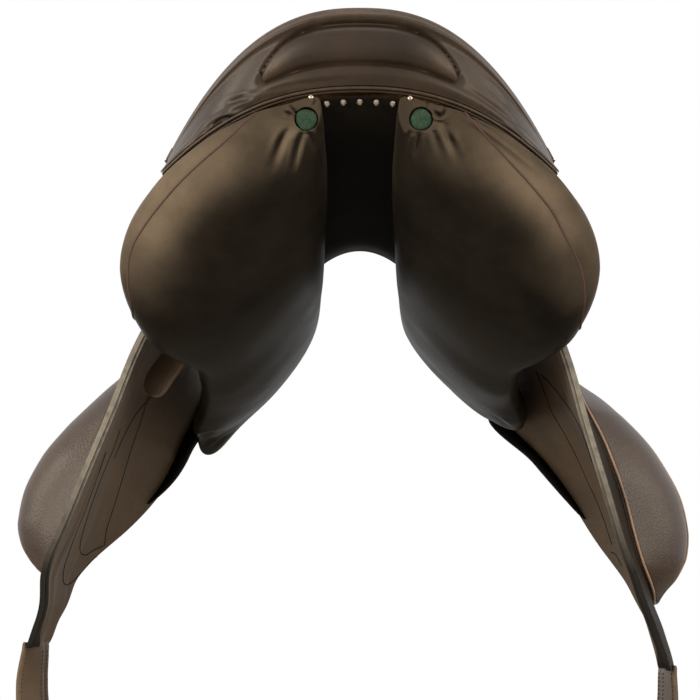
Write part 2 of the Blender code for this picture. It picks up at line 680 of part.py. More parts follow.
def build_bars():
    """Make the stirrup bars on their plates, their rivets and the hinged catches."""
    bar_in = BAR_PLATE + BAR_SLOT
    bar_out = bar_in + BAR_THICK
    for side, word in ((-1, "left"), (1, "right")):
        def at_rail(points):
            return [((RAIL_EDGE * line_x(y) - BAR_INSET + d) * side, y) for d, y in points]

        hook = [(BAR_PLATE / 2, BAR_FRONT), (bar_out - 0.003, BAR_FRONT),
                (bar_out, BAR_FRONT - 0.003), (bar_out, BAR_REAR), (bar_in, BAR_REAR),
                (bar_in, BAR_FRONT - 0.009), (BAR_PLATE / 2, BAR_FRONT - 0.009)]
        bar = finish("stirrup_bar_" + word, prism(at_rail(hook), BAR_Z, BAR_Z + BAR_HEIGHT), STEEL,
                     roughness=0.25, metallic=1.0)
        plate = [(0.0, BAR_REAR - 0.004), (0.0, BAR_FRONT + 0.002), (BAR_PLATE, BAR_FRONT + 0.002),
                 (BAR_PLATE, BAR_REAR - 0.004)]
        plate = finish("bar_plate_" + word,
                       prism(at_rail(plate), BAR_Z - 0.0005, BAR_Z + BAR_PLATE_HEIGHT), STEEL)
        plate.hide_render = True
        plate.display_type = "WIRE"
        union = bar.modifiers.new("plate", "BOOLEAN")
        union.operation = "UNION"
        union.object = plate
        rivet_z = BAR_Z + BAR_HEIGHT + RIVET_RADIUS + GAP
        for number, y in ((1, BAR_REAR + 0.012), (2, BAR_FRONT - 0.012)):
            bm = bmesh.new()
            bmesh.ops.create_cone(bm, cap_ends=True, segments=10, radius1=RIVET_RADIUS,
                                  radius2=RIVET_RADIUS * 0.6, depth=RIVET_HEAD)
            rail_x = at_rail([(BAR_PLATE + GAP + RIVET_HEAD / 2, y)])[0][0] + 0.0004 * side
            bmesh.ops.rotate(bm, verts=bm.verts, matrix=Matrix.Rotation(math.pi / 2 * side, 3, "Y"))
            bmesh.ops.translate(bm, verts=bm.verts, vec=(rail_x, y, rivet_z))
            finish("bar_rivet_%s_%d" % (word, number), bm, STEEL, metallic=1.0)
        at = (at_rail([(bar_in + BAR_THICK / 2, BAR_REAR)])[0][0], BAR_REAR - RUN - CATCH_EYE,
              BAR_Z + BAR_HEIGHT / 2)
        hinge = pivot("catch_pivot_" + word, at)
        outline = [(at[1] + CATCH_EYE * math.sin(a), at[2] + CATCH_EYE * math.cos(a))
                   for a in spread(0.0, math.pi, 7)]
        outline += [(at[1] - CATCH_LENGTH, at[2] - CATCH_EYE),
                    (at[1] - CATCH_LENGTH - 0.003, at[2]),
                    (at[1] - CATCH_LENGTH, at[2] + CATCH_EYE)]
        bm = prism(outline, at[0] - BAR_THICK / 2, at[0] + BAR_THICK / 2, "X")
        finish("bar_catch_" + word, bm, STEEL, origin=at, parent=hinge, roughness=0.25,
               metallic=1.0)


PANEL_STATIONS = (-0.229, -0.226, -0.221, -0.213, -0.203, -0.190, -0.174, -0.155, -0.133, -0.105,
                  -0.070, -0.030, 0.015, 0.060, 0.105, 0.150, 0.190, 0.222, 0.240, 0.249)


def build_channel():
    """Make the channel's leather cover."""
    rows = []
    for y in PANEL_STATIONS[:-1]:
        half = min(x for x, _, _ in panel_ring(y)) - GAP
        rows.append([(half * u, y, roof(u, y)) for u in spread(-1.0, 1.0, 9)])
    upper = [[(x, y, z + CHANNEL_COVER) for x, y, z in row] for row in rows]
    finish("channel_cover", shell_between(np.array(upper), np.array(rows)), BLACK)


def build_nails():
    """Make the row of domed nails at the channel's rear end, driven up through its cover."""
    y = PANEL_STATIONS[0] + NAIL_RADIUS + 0.0005
    slope = (ROOF(y + NAIL_RADIUS) - ROOF(y)) / NAIL_RADIUS
    down = Vector((0.0, slope, -1.0)).normalized()
    for number in range(NAILS):
        x = (number - (NAILS - 1) / 2) * NAIL_STEP
        bm = bmesh.new()
        bmesh.ops.create_uvsphere(bm, u_segments=10, v_segments=6, radius=NAIL_RADIUS)
        bmesh.ops.bisect_plane(bm, geom=bm.verts[:] + bm.edges[:] + bm.faces[:], clear_inner=True,
                               plane_co=(0, 0, 0), plane_no=(0, 0, 1))
        bmesh.ops.holes_fill(bm, edges=[line for line in bm.edges if line.is_boundary])
        turn = Vector((0, 0, 1)).rotation_difference(down).to_matrix()
        bmesh.ops.rotate(bm, verts=bm.verts, matrix=turn)
        seat = Vector((x, y, roof(x / CHANNEL_REAR, y))) + down * 2 * GAP
        bmesh.ops.translate(bm, verts=bm.verts, vec=seat)
        finish("channel_nail_%d" % (number + 1), bm, STEEL, roughness=0.25, metallic=1.0)


def disc(radius, y_low, y_high, dome, x, z):
    """Return a closed bmesh of a disc along Y with a domed rear face."""
    rings = []
    for y, share in ((y_high, 1.0), (y_low, 1.0), (y_low - dome * 0.6, 0.75)):
        angles = [2 * math.pi * k / 14 for k in range(14)]
        rings.append([(x + radius * share * math.cos(a), y, z + radius * share * math.sin(a))
                      for a in angles])
    return loft(rings, (0.0, dome * 0.4))


def build_panels():
    """Make the flocked panels, the plugs of their flocking holes and the keeper tabs."""
    rear = PANEL_STATIONS[0]
    for side, word in ((-1, "left"), (1, "right")):
        rings = [mirrored(panel_ring(y), side) for y in PANEL_STATIONS]
        panel = finish("panel_" + word, loft(rings, (0.002, 0.002)), BROWN)
        x = PLUG_X * side
        hole = disc(PLUG_RADIUS + RUN, rear - 0.010, rear + PLUG_DEPTH, 0.0, x, PLUG_Z)
        cut(panel, finish("plug_hole_" + word, hole, FELT))
        plug = disc(PLUG_RADIUS, rear - 0.0005, rear + PLUG_DEPTH - GAP, 0.0025, x, PLUG_Z)
        finish("flock_plug_" + word, plug, FELT, roughness=0.95)
        out = KEEPER_OUT_LEFT if side < 0 else 0.0
        path = [(0.1356 * side, -0.038, -0.073), ((0.1450 + out * 0.3) * side, -0.041, -0.090),
                ((0.1520 + out * 0.7) * side, -0.044, -0.106),
                ((0.1565 + out) * side, -0.046, -0.119)]
        face = [(0.35 * side, -0.90, 0.25)] * len(path)
        bm = strap(path, face, KEEPER_WIDTH, [KEEPER_THICK] * len(path))
        finish("keeper_tab_" + word, bm, BROWN)


# Knee block on the flap's outer face: its rear and front edge, and its height, by z
BLOCK_REAR = smooth((BLOCK_BOTTOM, 0.082), (BLOCK_BOTTOM + 0.005, 0.068), (-0.280, 0.054),
                    (-0.240, 0.046), (-0.190, 0.046), (-0.145, 0.056), (-0.112, 0.074),
                    (BLOCK_TOP, 0.092))
BLOCK_FRONT = smooth((BLOCK_BOTTOM, 0.086), (BLOCK_BOTTOM + 0.005, 0.096), (-0.280, 0.116),
                     (-0.240, 0.163), (-0.190, 0.212), (-0.145, 0.222), (-0.112, 0.180),
                     (BLOCK_TOP, 0.100))
BLOCK_RIDGE = smooth((BLOCK_BOTTOM, 0.04), (-0.278, 0.30), (-0.260, 0.62), (-0.235, 0.90),
                     (-0.205, 1.00), (-0.156, 0.83), (-0.112, 0.45), (BLOCK_TOP, 0.12))


def block_profile(u):
    """Return the block's share of its height from its rear edge (0) to its front edge (1)."""
    if u < BLOCK_CREST:
        return 1 - (1 - u / BLOCK_CREST) ** 1.7
    return max(math.cos(math.pi / 2 * (u - BLOCK_CREST) / (1 - BLOCK_CREST)), 0.0) ** 0.8


def build_block(side, word, hinge, at):
    """Make the moulded knee block."""
    outer, base = [], []
    for z in spread(BLOCK_TOP, BLOCK_BOTTOM, 17):
        row = []
        for u in (0.0, 0.04, 0.09, 0.16, 0.24, 0.32, 0.42, 0.54, 0.67, 0.80, 0.92, 1.0):
            y = BLOCK_REAR(z) + (BLOCK_FRONT(z) - BLOCK_REAR(z)) * u
            height = BLOCK_EDGE + (BLOCK_HEIGHT * BLOCK_RIDGE(z) - BLOCK_EDGE) * block_profile(u)
            row.append((y, z, max(height, BLOCK_EDGE)))
        outer.append([(flap_x(y, z, side) + BLOCK_SEAT + height, y, z) for y, z, height in row])
        base.append([(flap_x(y, z, side) + BLOCK_SEAT, y, z) for y, z, height in row])
    bm = shell_between(mirror_grid(outer, side), mirror_grid(base, side))
    finish("knee_block_" + word, bm, BROWN_GRAIN, origin=at, parent=hinge)


def web_room(y, z):
    """Return how far the lining swells over the billet web."""
    across = 1 - ease((abs(y - BILLET_Y) - BILLET_WEB_WIDTH / 2 - 0.010) / 0.014)
    return (BILLET_WEB + WEB_SEAT) * across * ease((WEB_TOP + 0.022 - z) / 0.016)


def build_lining(side, word, hinge, at):
    """Make the sweat side's lining and the billet web under it."""
    grid = flap_grid(side, LINE_Z - 0.036, LINING_MARGIN, FLAP_THICK + SHEET_GAP, 16)
    upper = [[(x - web_room(y, z), y, z) for x, y, z in row] for row in grid]
    lower = [[(x - LINING_THICK, y, z) for x, y, z in row] for row in upper]
    bm = shell_between(mirror_grid(upper, side), mirror_grid(lower, side))
    finish("flap_lining_" + word, bm, SUEDE, origin=at, parent=hinge, roughness=0.85)
    rows = []
    for z in spread(WEB_TOP, FLAP_BOTTOM - GAP, 16):
        ys = spread(BILLET_Y - BILLET_WEB_WIDTH / 2, BILLET_Y + BILLET_WEB_WIDTH / 2, 5)
        rows.append([(flap_x(y, z, side) - FLAP_THICK - WEB_SEAT, y, z) for y in ys])
    back = [[(x - BILLET_WEB, y, z) for x, y, z in row] for row in rows]
    bm = shell_between(mirror_grid(rows, side), mirror_grid(back, side))
    finish("billet_web_" + word, bm, LINEN, origin=at, parent=hinge, roughness=0.9)


def build_front_pad(side, word, hinge, at):
    """Make the small pad on the sweat side at the flap's front edge."""
    inner, base = [], []
    room = FLAP_THICK + LINING_THICK + SHEET_GAP + PAD_SEAT
    for t in spread(0.0, 1.0, 9):
        z = -0.148 - 0.056 * t
        swell = math.sin(math.pi * (0.06 + 0.88 * t)) ** 0.6
        row, back = [], []
        for u in (0.0, 0.12, 0.30, 0.50, 0.70, 0.88, 1.0):
            y = FLAP_FRONT(z) - LINING_MARGIN - 0.002 - 0.034 * swell * u
            height = 0.002 + (FRONT_PAD - 0.002) * swell * math.sin(math.pi * u) ** 0.6
            x = flap_x(y, z, side) - room
            row.append((x - height, y, z))
            back.append((x, y, z))
        inner.append(row)
        base.append(back)
    bm = shell_between(mirror_grid(inner, side), mirror_grid(base, side))
    finish("front_pad_" + word, bm, BLACK, origin=at, parent=hinge)


def skirt_drop(y):
    """Return how far the skirt reaches below the skirt line at y."""
    t = (y - SKIRT_REAR) / (SKIRT_FRONT - SKIRT_REAR)
    return SKIRT_DROP * (0.10 + 0.90 * math.sin(math.pi * t ** 0.85) ** 0.55)


def build_skirt(side, word, parent, parent_at):
    """Make the skirt, which hangs from the same line as the flap and lifts by itself."""
    hinge = pivot("skirt_pivot_" + word, parent_at, parent=parent, parent_at=parent_at)
    outer = []
    for y in spread(SKIRT_REAR, SKIRT_FRONT, 17):
        top = line_z(y) - 0.001
        row = []
        for v in spread(0.0, 1.0, 8):
            z = top - (skirt_drop(y) - 0.001) * v
            row.append((flap_x(y, z, side) + SHEET_GAP + SKIRT_THICK, y, z))
        outer.append(row)
    inner = [[(x - SKIRT_THICK, y, z) for x, y, z in row] for row in outer]
    bm = shell_between(mirror_grid(outer, side), mirror_grid(inner, side))
    finish("skirt_" + word, bm, BROWN, origin=parent_at, parent=hinge)


def billet_path(side):
    """Return the billet's centre line as (x, z), with the angle of its run from the vertical."""
    lean = smooth((0.0, 5.0), (0.020, 2.0), (0.060, -16.0), (0.110, -24.0), (0.300, -8.0))
    x = flap_x(BILLET_Y, FLAP_BOTTOM, side) - FLAP_THICK - GAP - BILLET_WEB / 2
    z = FLAP_BOTTOM - 2 * GAP - BILLET_THICK / 2
    points = [(x, z, lean(0.0))]
    steps = BILLET_STEPS
    for i in range(steps):
        angle = math.radians(lean(BILLET_LENGTH * (i + 0.5) / steps))
        x += math.sin(angle) * BILLET_LENGTH / steps
        z -= math.cos(angle) * BILLET_LENGTH / steps
        points.append((x, z, lean(BILLET_LENGTH * (i + 1) / steps)))
    return points


def build_billets(side, word, parent, parent_at):
    """Make the front and the rear billet with their punched holes."""
    path = billet_path(side)
    twist = BILLET_TWIST_LEFT if side < 0 else BILLET_TWIST_RIGHT
    for place, y in (("rear", BILLET_Y - BILLET_WIDTH / 2 - 0.001),
                     ("front", BILLET_Y + BILLET_WIDTH / 2 + 0.001)):
        at = (path[0][0] * side, y, path[0][1])
        hinge = pivot("billet_pivot_%s_%s" % (place, word), at, parent=parent, parent_at=parent_at)
        points, normals, thicks = [], [], []
        for share in (0.95, 0.7):
            points.append((path[0][0] * side, y, path[0][1] + BILLET_THICK / 2 * share))
            normals.append((side, 0.0, 0.0))
            thicks.append(BILLET_THICK * math.sqrt(1 - share * share))
        for i, (x, z, lean) in enumerate(path):
            turn = math.radians(twist) * ease(i / 2 + 0.25)
            points.append((x * side, y, z))
            normals.append((math.cos(turn) * side, math.sin(turn), 0.0))
            thicks.append(BILLET_THICK)
        bm = strap(points, normals, BILLET_WIDTH, thicks)
        billet = finish("billet_%s_%s" % (place, word), bm, BROWN, origin=at, parent=hinge)
        pins = []
        for k in range(BILLET_HOLES):
            i = len(points) - 2 - k
            pin = bmesh.new()
            bmesh.ops.create_cone(pin, cap_ends=True, segments=6, radius1=BILLET_HOLE_RADIUS,
                                  radius2=BILLET_HOLE_RADIUS, depth=4 * BILLET_THICK)
            normal = Vector(normals[i])
            bmesh.ops.rotate(pin, verts=pin.verts,
                             matrix=Vector((0, 0, 1)).rotation_difference(normal).to_matrix())
            bmesh.ops.translate(pin, verts=pin.verts, vec=Vector(points[i]))
            pins.append(pin)
        holes = bmesh.new()
        for pin in pins:
            mesh = bpy.data.meshes.new("pin")
            pin.to_mesh(mesh)
            pin.free()
            holes.from_mesh(mesh)
        cutter = finish("billet_holes_%s_%s" % (place, word), holes, STEEL, origin=at, parent=hinge)
        cut(billet, cutter)


def build_flap(side, word, splay):
    """Make one flap with all that it carries."""
    at = (line_x(0.0) * side, 0.0, line_z(0.0))
    hinge = pivot("flap_pivot_" + word, at, line_axis(side), splay * side * -1)
    outer = flap_grid(side, LINE_Z, 0.0, 0.0, 15)
    inner = flap_grid(side, LINE_Z, 0.0, FLAP_THICK, 15)
    bm = shell_between(mirror_grid(outer, side), mirror_grid(inner, side))
    flap = finish("flap_" + word, bm, BROWN, origin=at, parent=hinge)
    notch_rear = BAR_REAR - 2 * CATCH_EYE - CATCH_LENGTH - BAR_NOTCH - GAP
    outline = [(notch_rear, BAR_Z - BAR_NOTCH), (BAR_FRONT + BAR_NOTCH, BAR_Z - BAR_NOTCH),
               (BAR_FRONT + BAR_NOTCH, 0.060), (notch_rear, 0.060)]
    low, high = sorted((0.050 * side, 0.150 * side))
    notch = finish("flap_notch_" + word, prism(outline, low, high, "X"), STEEL, origin=at,
                   parent=hinge)
    cut(flap, notch)
    build_lining(side, word, hinge, at)
    build_block(side, word, hinge, at)
    build_front_pad(side, word, hinge, at)
    build_skirt(side, word, hinge, at)
    build_billets(side, word, hinge, at)


def main():
    """Build the saddle."""
    for obj in list(bpy.data.objects):
        bpy.data.objects.remove(obj)
    depth = build_seat()
    build_cantle()
    build_tree(depth)
    build_head()
    build_bars()
    build_channel()
    build_nails()
    build_panels()
    build_flap(-1, "left", SPLAY_LEFT)
    build_flap(1, "right", SPLAY_RIGHT)


main()
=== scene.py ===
"""Looks of the jumping saddle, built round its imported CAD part."""

import json
import math

import bmesh
import bpy
import numpy as np
from mathutils import Matrix, Vector
from mathutils.bvhtree import BVHTree


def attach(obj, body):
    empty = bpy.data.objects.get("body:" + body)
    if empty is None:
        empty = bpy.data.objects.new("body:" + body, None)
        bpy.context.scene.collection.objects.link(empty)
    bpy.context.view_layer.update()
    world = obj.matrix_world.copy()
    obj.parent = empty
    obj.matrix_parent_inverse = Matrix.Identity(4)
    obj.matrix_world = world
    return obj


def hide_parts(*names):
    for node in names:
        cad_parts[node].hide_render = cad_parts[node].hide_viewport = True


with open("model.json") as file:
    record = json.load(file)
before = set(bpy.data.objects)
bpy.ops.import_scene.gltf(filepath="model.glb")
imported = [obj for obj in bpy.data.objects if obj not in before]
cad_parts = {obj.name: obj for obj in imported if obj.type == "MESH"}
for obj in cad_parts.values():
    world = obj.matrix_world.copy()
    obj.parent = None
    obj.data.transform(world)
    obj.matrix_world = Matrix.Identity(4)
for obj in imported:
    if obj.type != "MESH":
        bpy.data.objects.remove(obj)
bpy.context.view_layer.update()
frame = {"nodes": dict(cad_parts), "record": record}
NODES = frame["nodes"]

# Camera: straight behind the saddle and low, looking up at it a little
FOCAL_PX, PICTURE_PX = 2488.7, 700.0
STAND = (0.0, -2.0701, -0.3214)
PITCH, YAW = 0.11185, 0.0040
AIM = Matrix.Rotation(YAW, 3, "Z") @ Matrix.Rotation(math.pi / 2 + PITCH, 3, "X")

# Colours and materials


def srgb(text):
    """Return linear colour values of an sRGB hex code."""
    values = []
    for i in (0, 2, 4):
        c = int(text[i:i + 2], 16) / 255
        values.append(c / 12.92 if c <= 0.04045 else ((c + 0.055) / 1.055) ** 2.4)
    return (*values, 1.0)


def add(tree, kind, sockets=None, **settings):
    """Add a node; sockets maps input names or numbers to constants or to other nodes' outputs."""
    node = tree.nodes.new(kind)
    for key, value in settings.items():
        setattr(node, key, value)
    for key, value in (sockets or {}).items():
        if isinstance(value, bpy.types.NodeSocket):
            tree.links.new(value, node.inputs[key])
        else:
            node.inputs[key].default_value = value
    return node


def new_material(name):
    """Return a material with its tree and its Principled shader."""
    material = bpy.data.materials.new(name)
    material.use_nodes = True
    return material, material.node_tree, material.node_tree.nodes["Principled BSDF"]


# How much of the worn colour a fully rubbed point takes, times its scuff pattern's value
RUBBED_SHARE = 1.2


def leather(name, dark, light, worn, grain=0.0011, depth=0.16, roughness=(0.37, 0.47),
            blotch_size=0.055, gloss=0.25, sheen_colour=None):
    """Return a dyed leather.

    Two colours in soft blotches, a pebble grain of a size in metres, and a paler colour where the
    piece's attribute "worn" says that its edges and crests are rubbed. A painted sheen colour,
    which stands in for the lamps' highlight, comes where its sheen attribute says so.
    """
    material, tree, shader = new_material(name)
    place = add(tree, "ShaderNodeTexCoord").outputs["Object"]
    blotch = add(tree, "ShaderNodeTexNoise", {"Vector": place, "Scale": 1 / blotch_size,
                                              "Detail": 5.0, "Roughness": 0.6})
    spread_out = add(tree, "ShaderNodeMapRange", {"Value": blotch.outputs["Fac"], "From Min": 0.32,
                                                  "From Max": 0.68})
    dyed = add(tree, "ShaderNodeMix", {"Factor": spread_out.outputs[0], 6: srgb(dark),
                                       7: srgb(light)}, data_type="RGBA")
    rubbed = add(tree, "ShaderNodeAttribute", attribute_name="worn")
    scuff = add(tree, "ShaderNodeTexNoise", {"Vector": place, "Scale": 1 / 0.006, "Detail": 3.0})
    share = add(tree, "ShaderNodeMath", {0: rubbed.outputs["Fac"], 1: scuff.outputs["Fac"]},
                operation="MULTIPLY")
    much = add(tree, "ShaderNodeMath", {0: share.outputs[0], 1: RUBBED_SHARE}, operation="MULTIPLY",
               use_clamp=True)
    colour = add(tree, "ShaderNodeMix", {"Factor": much.outputs[0], 6: dyed.outputs[2],
                                         7: srgb(worn)}, data_type="RGBA")
    shader.inputs["Specular IOR Level"].default_value = gloss
    # Painted sheen: a paler colour that stands in for the lamps' highlight, mottled by the blotches
    if sheen_colour:
        sheen_share = add(tree, "ShaderNodeAttribute", attribute_name="painted_sheen")
        sheen_mottle = add(tree, "ShaderNodeMapRange", {"Value": blotch.outputs["Fac"], "From Min": 0.32,
                                                "From Max": 0.68, "To Min": 0.62, "To Max": 1.22})
        much = add(tree, "ShaderNodeMath", {0: sheen_share.outputs["Fac"], 1: sheen_mottle.outputs[0]},
                   operation="MULTIPLY", use_clamp=True)
        colour = add(tree, "ShaderNodeMix", {"Factor": much.outputs[0], 6: colour.outputs[2],
                                             7: srgb(sheen_colour)}, data_type="RGBA")
    pebble = add(tree, "ShaderNodeTexVoronoi", {"Vector": place, "Scale": 1 / grain},
                 feature="SMOOTH_F1")
    fine = add(tree, "ShaderNodeTexNoise", {"Vector": place, "Scale": 0.7 / grain, "Detail": 3.0})
    height = add(tree, "ShaderNodeMath", {0: pebble.outputs["Distance"],
                                          1: fine.outputs["Fac"]}, operation="ADD")
    bump = add(tree, "ShaderNodeBump", {"Strength": depth, "Distance": grain * 0.4,
                                        "Height": height.outputs[0]})
    wear = add(tree, "ShaderNodeMapRange", {"Value": blotch.outputs["Fac"], "From Min": 0.3,
                                            "From Max": 0.7, "To Min": roughness[0],
                                            "To Max": roughness[1]})
    tree.links.new(colour.outputs[2], shader.inputs["Base Color"])
    tree.links.new(wear.outputs[0], shader.inputs["Roughness"])
    tree.links.new(bump.outputs[0], shader.inputs["Normal"])
    return material


def fibrous(name, dark, light, size, roughness, depth=0.4, metallic=0.0, stretch=(1, 1, 1)):
    """Return a material whose fibres, grain or brush marks have a size in metres."""
    material, tree, shader = new_material(name)
    place = add(tree, "ShaderNodeTexCoord").outputs["Object"]
    turned = add(tree, "ShaderNodeMapping", {"Vector": place, "Scale": stretch})
    fibre = add(tree, "ShaderNodeTexNoise", {"Vector": turned.outputs[0], "Scale": 1 / size,
                                             "Detail": 5.0, "Roughness": 0.65})
    share = add(tree, "ShaderNodeMapRange", {"Value": fibre.outputs["Fac"], "From Min": 0.3,
                                             "From Max": 0.7})
    mix = add(tree, "ShaderNodeMix", {"Factor": share.outputs[0], 6: srgb(dark), 7: srgb(light)},
              data_type="RGBA")
    bump = add(tree, "ShaderNodeBump", {"Strength": depth, "Distance": size * 0.5,
                                        "Height": fibre.outputs["Fac"]})
    tree.links.new(mix.outputs[2], shader.inputs["Base Color"])
    tree.links.new(bump.outputs[0], shader.inputs["Normal"])
    shader.inputs["Roughness"].default_value = roughness
    shader.inputs["Metallic"].default_value = metallic
    return material


def darken_low_down(material, dark, first, last):
    """Let a leather's colour go over to a dark one between a first and a last height."""
    tree = material.node_tree
    colour = tree.nodes["Principled BSDF"].inputs["Base Color"]
    place = add(tree, "ShaderNodeTexCoord").outputs["Object"]
    height = add(tree, "ShaderNodeSeparateXYZ", {"Vector": place})
    share = add(tree, "ShaderNodeMapRange", {"Value": height.outputs["Z"], "From Min": first,
                                             "From Max": last})
    mix = add(tree, "ShaderNodeMix", {"Factor": share.outputs[0], 6: colour.links[0].from_socket,
                                      7: srgb(dark)}, data_type="RGBA")
    tree.links.new(mix.outputs[2], colour)


# Aniline-dyed calf: smooth, half matt, browner where it is rubbed; its second, paler colour is a
# painted sheen, the lamps' highlight on the panels
CALF = leather("dark_brown_calf_leather", "151310", "24201b", "6b5947", gloss=0.03,
               sheen_colour="786c5d")
# Seat and cantle leather: the same hide with a closer, silkier grain
SEAT_HIDE = leather("brown_seat_leather", "241d17", "382e25", "6f5c49", grain=0.0009)
# Knee blocks: a printed pebble grain that catches the light
GRAIN = leather("grained_brown_leather", "29201a", "3d3128", "7d6655", grain=0.0014, depth=0.38,
                roughness=(0.36, 0.46), gloss=0.35)
# Sweat side: buffed, fine grained and matt
SWEAT = leather("matt_sweat_side_leather", "40352a", "5b4c3c", "7d6a54", grain=0.0010,
                depth=0.6, roughness=(0.62, 0.8))
# Channel and pads: matt black-brown leather; on the front pads the black is also painted shade of
# the deep gap they sit in
BLACK = leather("matt_black_leather", "080706", "110f0d", "241f1a", roughness=(0.6, 0.75),
                gloss=0.04)
# Cut edges of the flaps: inked and burnished; their pale blue-grey is a painted sheen, the lamps'
# highlight on the dark ink
EDGE = leather("inked_cut_edge", "555450", "7f7c75", "9c988e", grain=0.0007, depth=0.5,
               roughness=(0.35, 0.5), blotch_size=0.012)
# Painted shade: lower down the inked edges go nearly black, under the painted sheen higher up
darken_low_down(EDGE, "1d1b19", first=-0.185, last=-0.275)
# Flaps: the panels' calf, waxed matt
FLAP_HIDE = leather("waxed_calf_leather", "1a1612", "2b241d", "6b5947", roughness=(0.5, 0.62),
                    gloss=0.02)
# Piping of the knee blocks: natural undyed leather
PIPING = leather("natural_leather_piping", "8e7463", "b2957f", "cdb29b", roughness=(0.4, 0.5))
# Billets: bridle leather, browner and closer than the flaps
BRIDLE = leather("brown_bridle_leather", "3b3126", "5c4d3e", "877259", gloss=0.3)
# Threads: waxed linen, red-brown on the gussets and dark brown elsewhere, drawn a little coarse
THREAD = fibrous("dark_red_brown_thread", "2a1512", "4a2a22", 0.0004, 0.6)
DARK_THREAD = fibrous("dark_brown_thread", "17120e", "2b221b", 0.0004, 0.6)
# Plugs: pressed green wool felt, with no gloss
FELT = fibrous("green_wool_felt", "172a1e", "34543f", 0.0012, 0.95, depth=0.9)
# Tree: varnished beech, with its grain along the saddle, and sheet steel brushed the same way
BEECH = fibrous("sealed_beech", "94703f", "bf9a66", 0.002, 0.45, stretch=(1, 0.12, 1))
STEEL = fibrous("brushed_sheet_steel", "9b9b9a", "c6c6c4", 0.0012, 0.34, metallic=1.0,
                depth=0.15, stretch=(1, 0.08, 1))
# Stirrup bars: forged and polished steel, a clear mirror
POLISHED = fibrous("polished_steel", "c9c9c6", "dededb", 0.004, 0.14, metallic=1.0, depth=0.05)
# Webs: undyed linen, matt and coarse
LINEN = fibrous("woven_linen", "9c8b69", "c4b48f", 0.0009, 0.9, depth=0.8)
# Seat foam: yellow, open pored and matt
FOAM_SHEET = fibrous("yellow_foam", "cbbd88", "e2d7aa", 0.0012, 0.9, depth=0.6)
# Domed nails: nickelled steel, small and bright
NICKEL = fibrous("nickelled_nail", "8f8378", "b5a99c", 0.002, 0.28, metallic=1.0, depth=0.05)
# What each slot's solids show; most are replaced further down
SLOTS = {"brown_leather": CALF, "grained_leather": GRAIN, "suede_leather": SWEAT,
         "black_leather": BLACK, "green_felt": FELT, "beech": BEECH, "tree_steel": STEEL,
         "polished_steel": POLISHED, "linen_web": LINEN, "foam": FOAM_SHEET}

for row in frame["record"]["subparts"]:
    node = NODES[row["node"]]
    node.data.materials.clear()
    nail = row["node"].startswith("channel_nail")
    node.data.materials.append(NICKEL if nail else SLOTS[row["material_slot"]])

# Clearances
GAP = 0.0003            # between touching pieces
SHEET_GAP = 0.0009      # between leather sheets that follow the same curved surface

# Seat, along its centre line
SEAT_LOW = 0.045        # lowest point of the seat over the channel's roof
CANTLE_TOP = 0.145      # height of the cantle's rim
CANTLE_REAR = -0.232    # how far back the rim stands
POMMEL_TOP = 0.081      # height of the pommel
POMMEL_FRONT = 0.256    # how far forward the pommel reaches
COVER = 0.003           # thickness of the seat's leather

# Cantle
CANTLE_HALF = 0.153     # half of the rim's width
CANTLE_DROP = 0.098     # fall of the rim from its top to its side ends
CANTLE_SIDE_Y = -0.133  # where the rim ends at the sides
FACE_HEIGHT = 0.0585    # height of the cantle's back face on the centre line
FACE_BULGE = 0.004      # how far the back face swells
WELT_HALF = 0.155       # half of the welt's width
WELT_DROP = 0.058       # fall of the welt from its middle to its ends
WELT_REAR = -0.227      # how far back the welt stands
WELT_SIDE_Y = -0.176    # where the welt ends at the sides
WELT_RADIUS = 0.0026
WELT_SEAT = 0.0031      # from the facing's lower edge to the welt

# Skirt line: the straight line where flap and skirt hang, on the right side
LINE_X = 0.0965         # distance from the centre plane at y = 0
LINE_X_SLOPE = -0.116   # change of that for each metre forward
LINE_Z = 0.029          # height at y = 0
LINE_Z_SLOPE = 0.030

# Flaps
FLAP_THICK = 0.0045
FLAP_BOTTOM = -0.343
FLAP_BOW = 0.014        # how far its middle bows outward
FLAP_TURN = 0.034       # how far its front part turns in
SPLAY = {-1: 2.1, 1: -4.1}    # degrees that each hangs further out than its own form
LINING_THICK = 0.0025
LINING_MARGIN = 0.0045  # how far the lining stays inside the flap's edge
BILLET_WEB = 0.0022     # thickness of the web inside the flap
BILLET_WEB_WIDTH = 0.056
BILLET_Y = 0.042        # middle of the billets along Y
WEB_TOP = -0.036        # top end of the billet web
WEB_SEAT = 0.0019       # from the flap's inner face to the web

# Knee blocks
BLOCK_HEIGHT = 0.0560   # how far the block stands out of the flap
BLOCK_EDGE = 0.0022     # thickness at its edge
BLOCK_SEAT = 0.0038     # from the flap's outer face to the block's base
BLOCK_CREST = 0.30      # where its highest line runs, as a share from its rear edge
BLOCK_TOP = -0.098
BLOCK_BOTTOM = -0.302

# Skirts
SKIRT_THICK = 0.0032
SKIRT_REAR = -0.046
SKIRT_FRONT = 0.214
SKIRT_DROP = 0.106      # from the skirt line to its lowest point

# Billets
BILLET_WIDTH = 0.027
BILLET_THICK = 0.0042
BILLET_LENGTH = 0.300
BILLET_TWIST = {-1: 50.0, 1: 20.0}    # degrees, the turn of their faces towards the rear
BILLET_HOLES = 6
BILLET_STEPS = 12       # straight pieces of the billet's curve; the holes are one apart
BILLET_HOLE_RADIUS = 0.0022

# Channel and panels
PANEL_REAR, PANEL_FRONT = -0.229, 0.249
CHANNEL_END = 0.240     # how far forward the channel's leather reaches
RING_PARTS = 16         # steps between two points of a panel's section
CHANNEL_REAR = 0.0295   # half of the channel's width at the rear
CHANNEL_FRONT = 0.037   # half of it at the front
CHANNEL_COVER = 0.002
ROOF_CROWN_REAR = 0.002 # how far the roof's edges lie below its middle, at the rear end
ROOF_CROWN = 0.0155     # and from the waist on
NAIL_RADIUS = 0.0028
PLUG_RADIUS = 0.0080
PLUG_X = 0.0430
PLUG_Z = 0.0600
KEEPER_THICK = 0.003


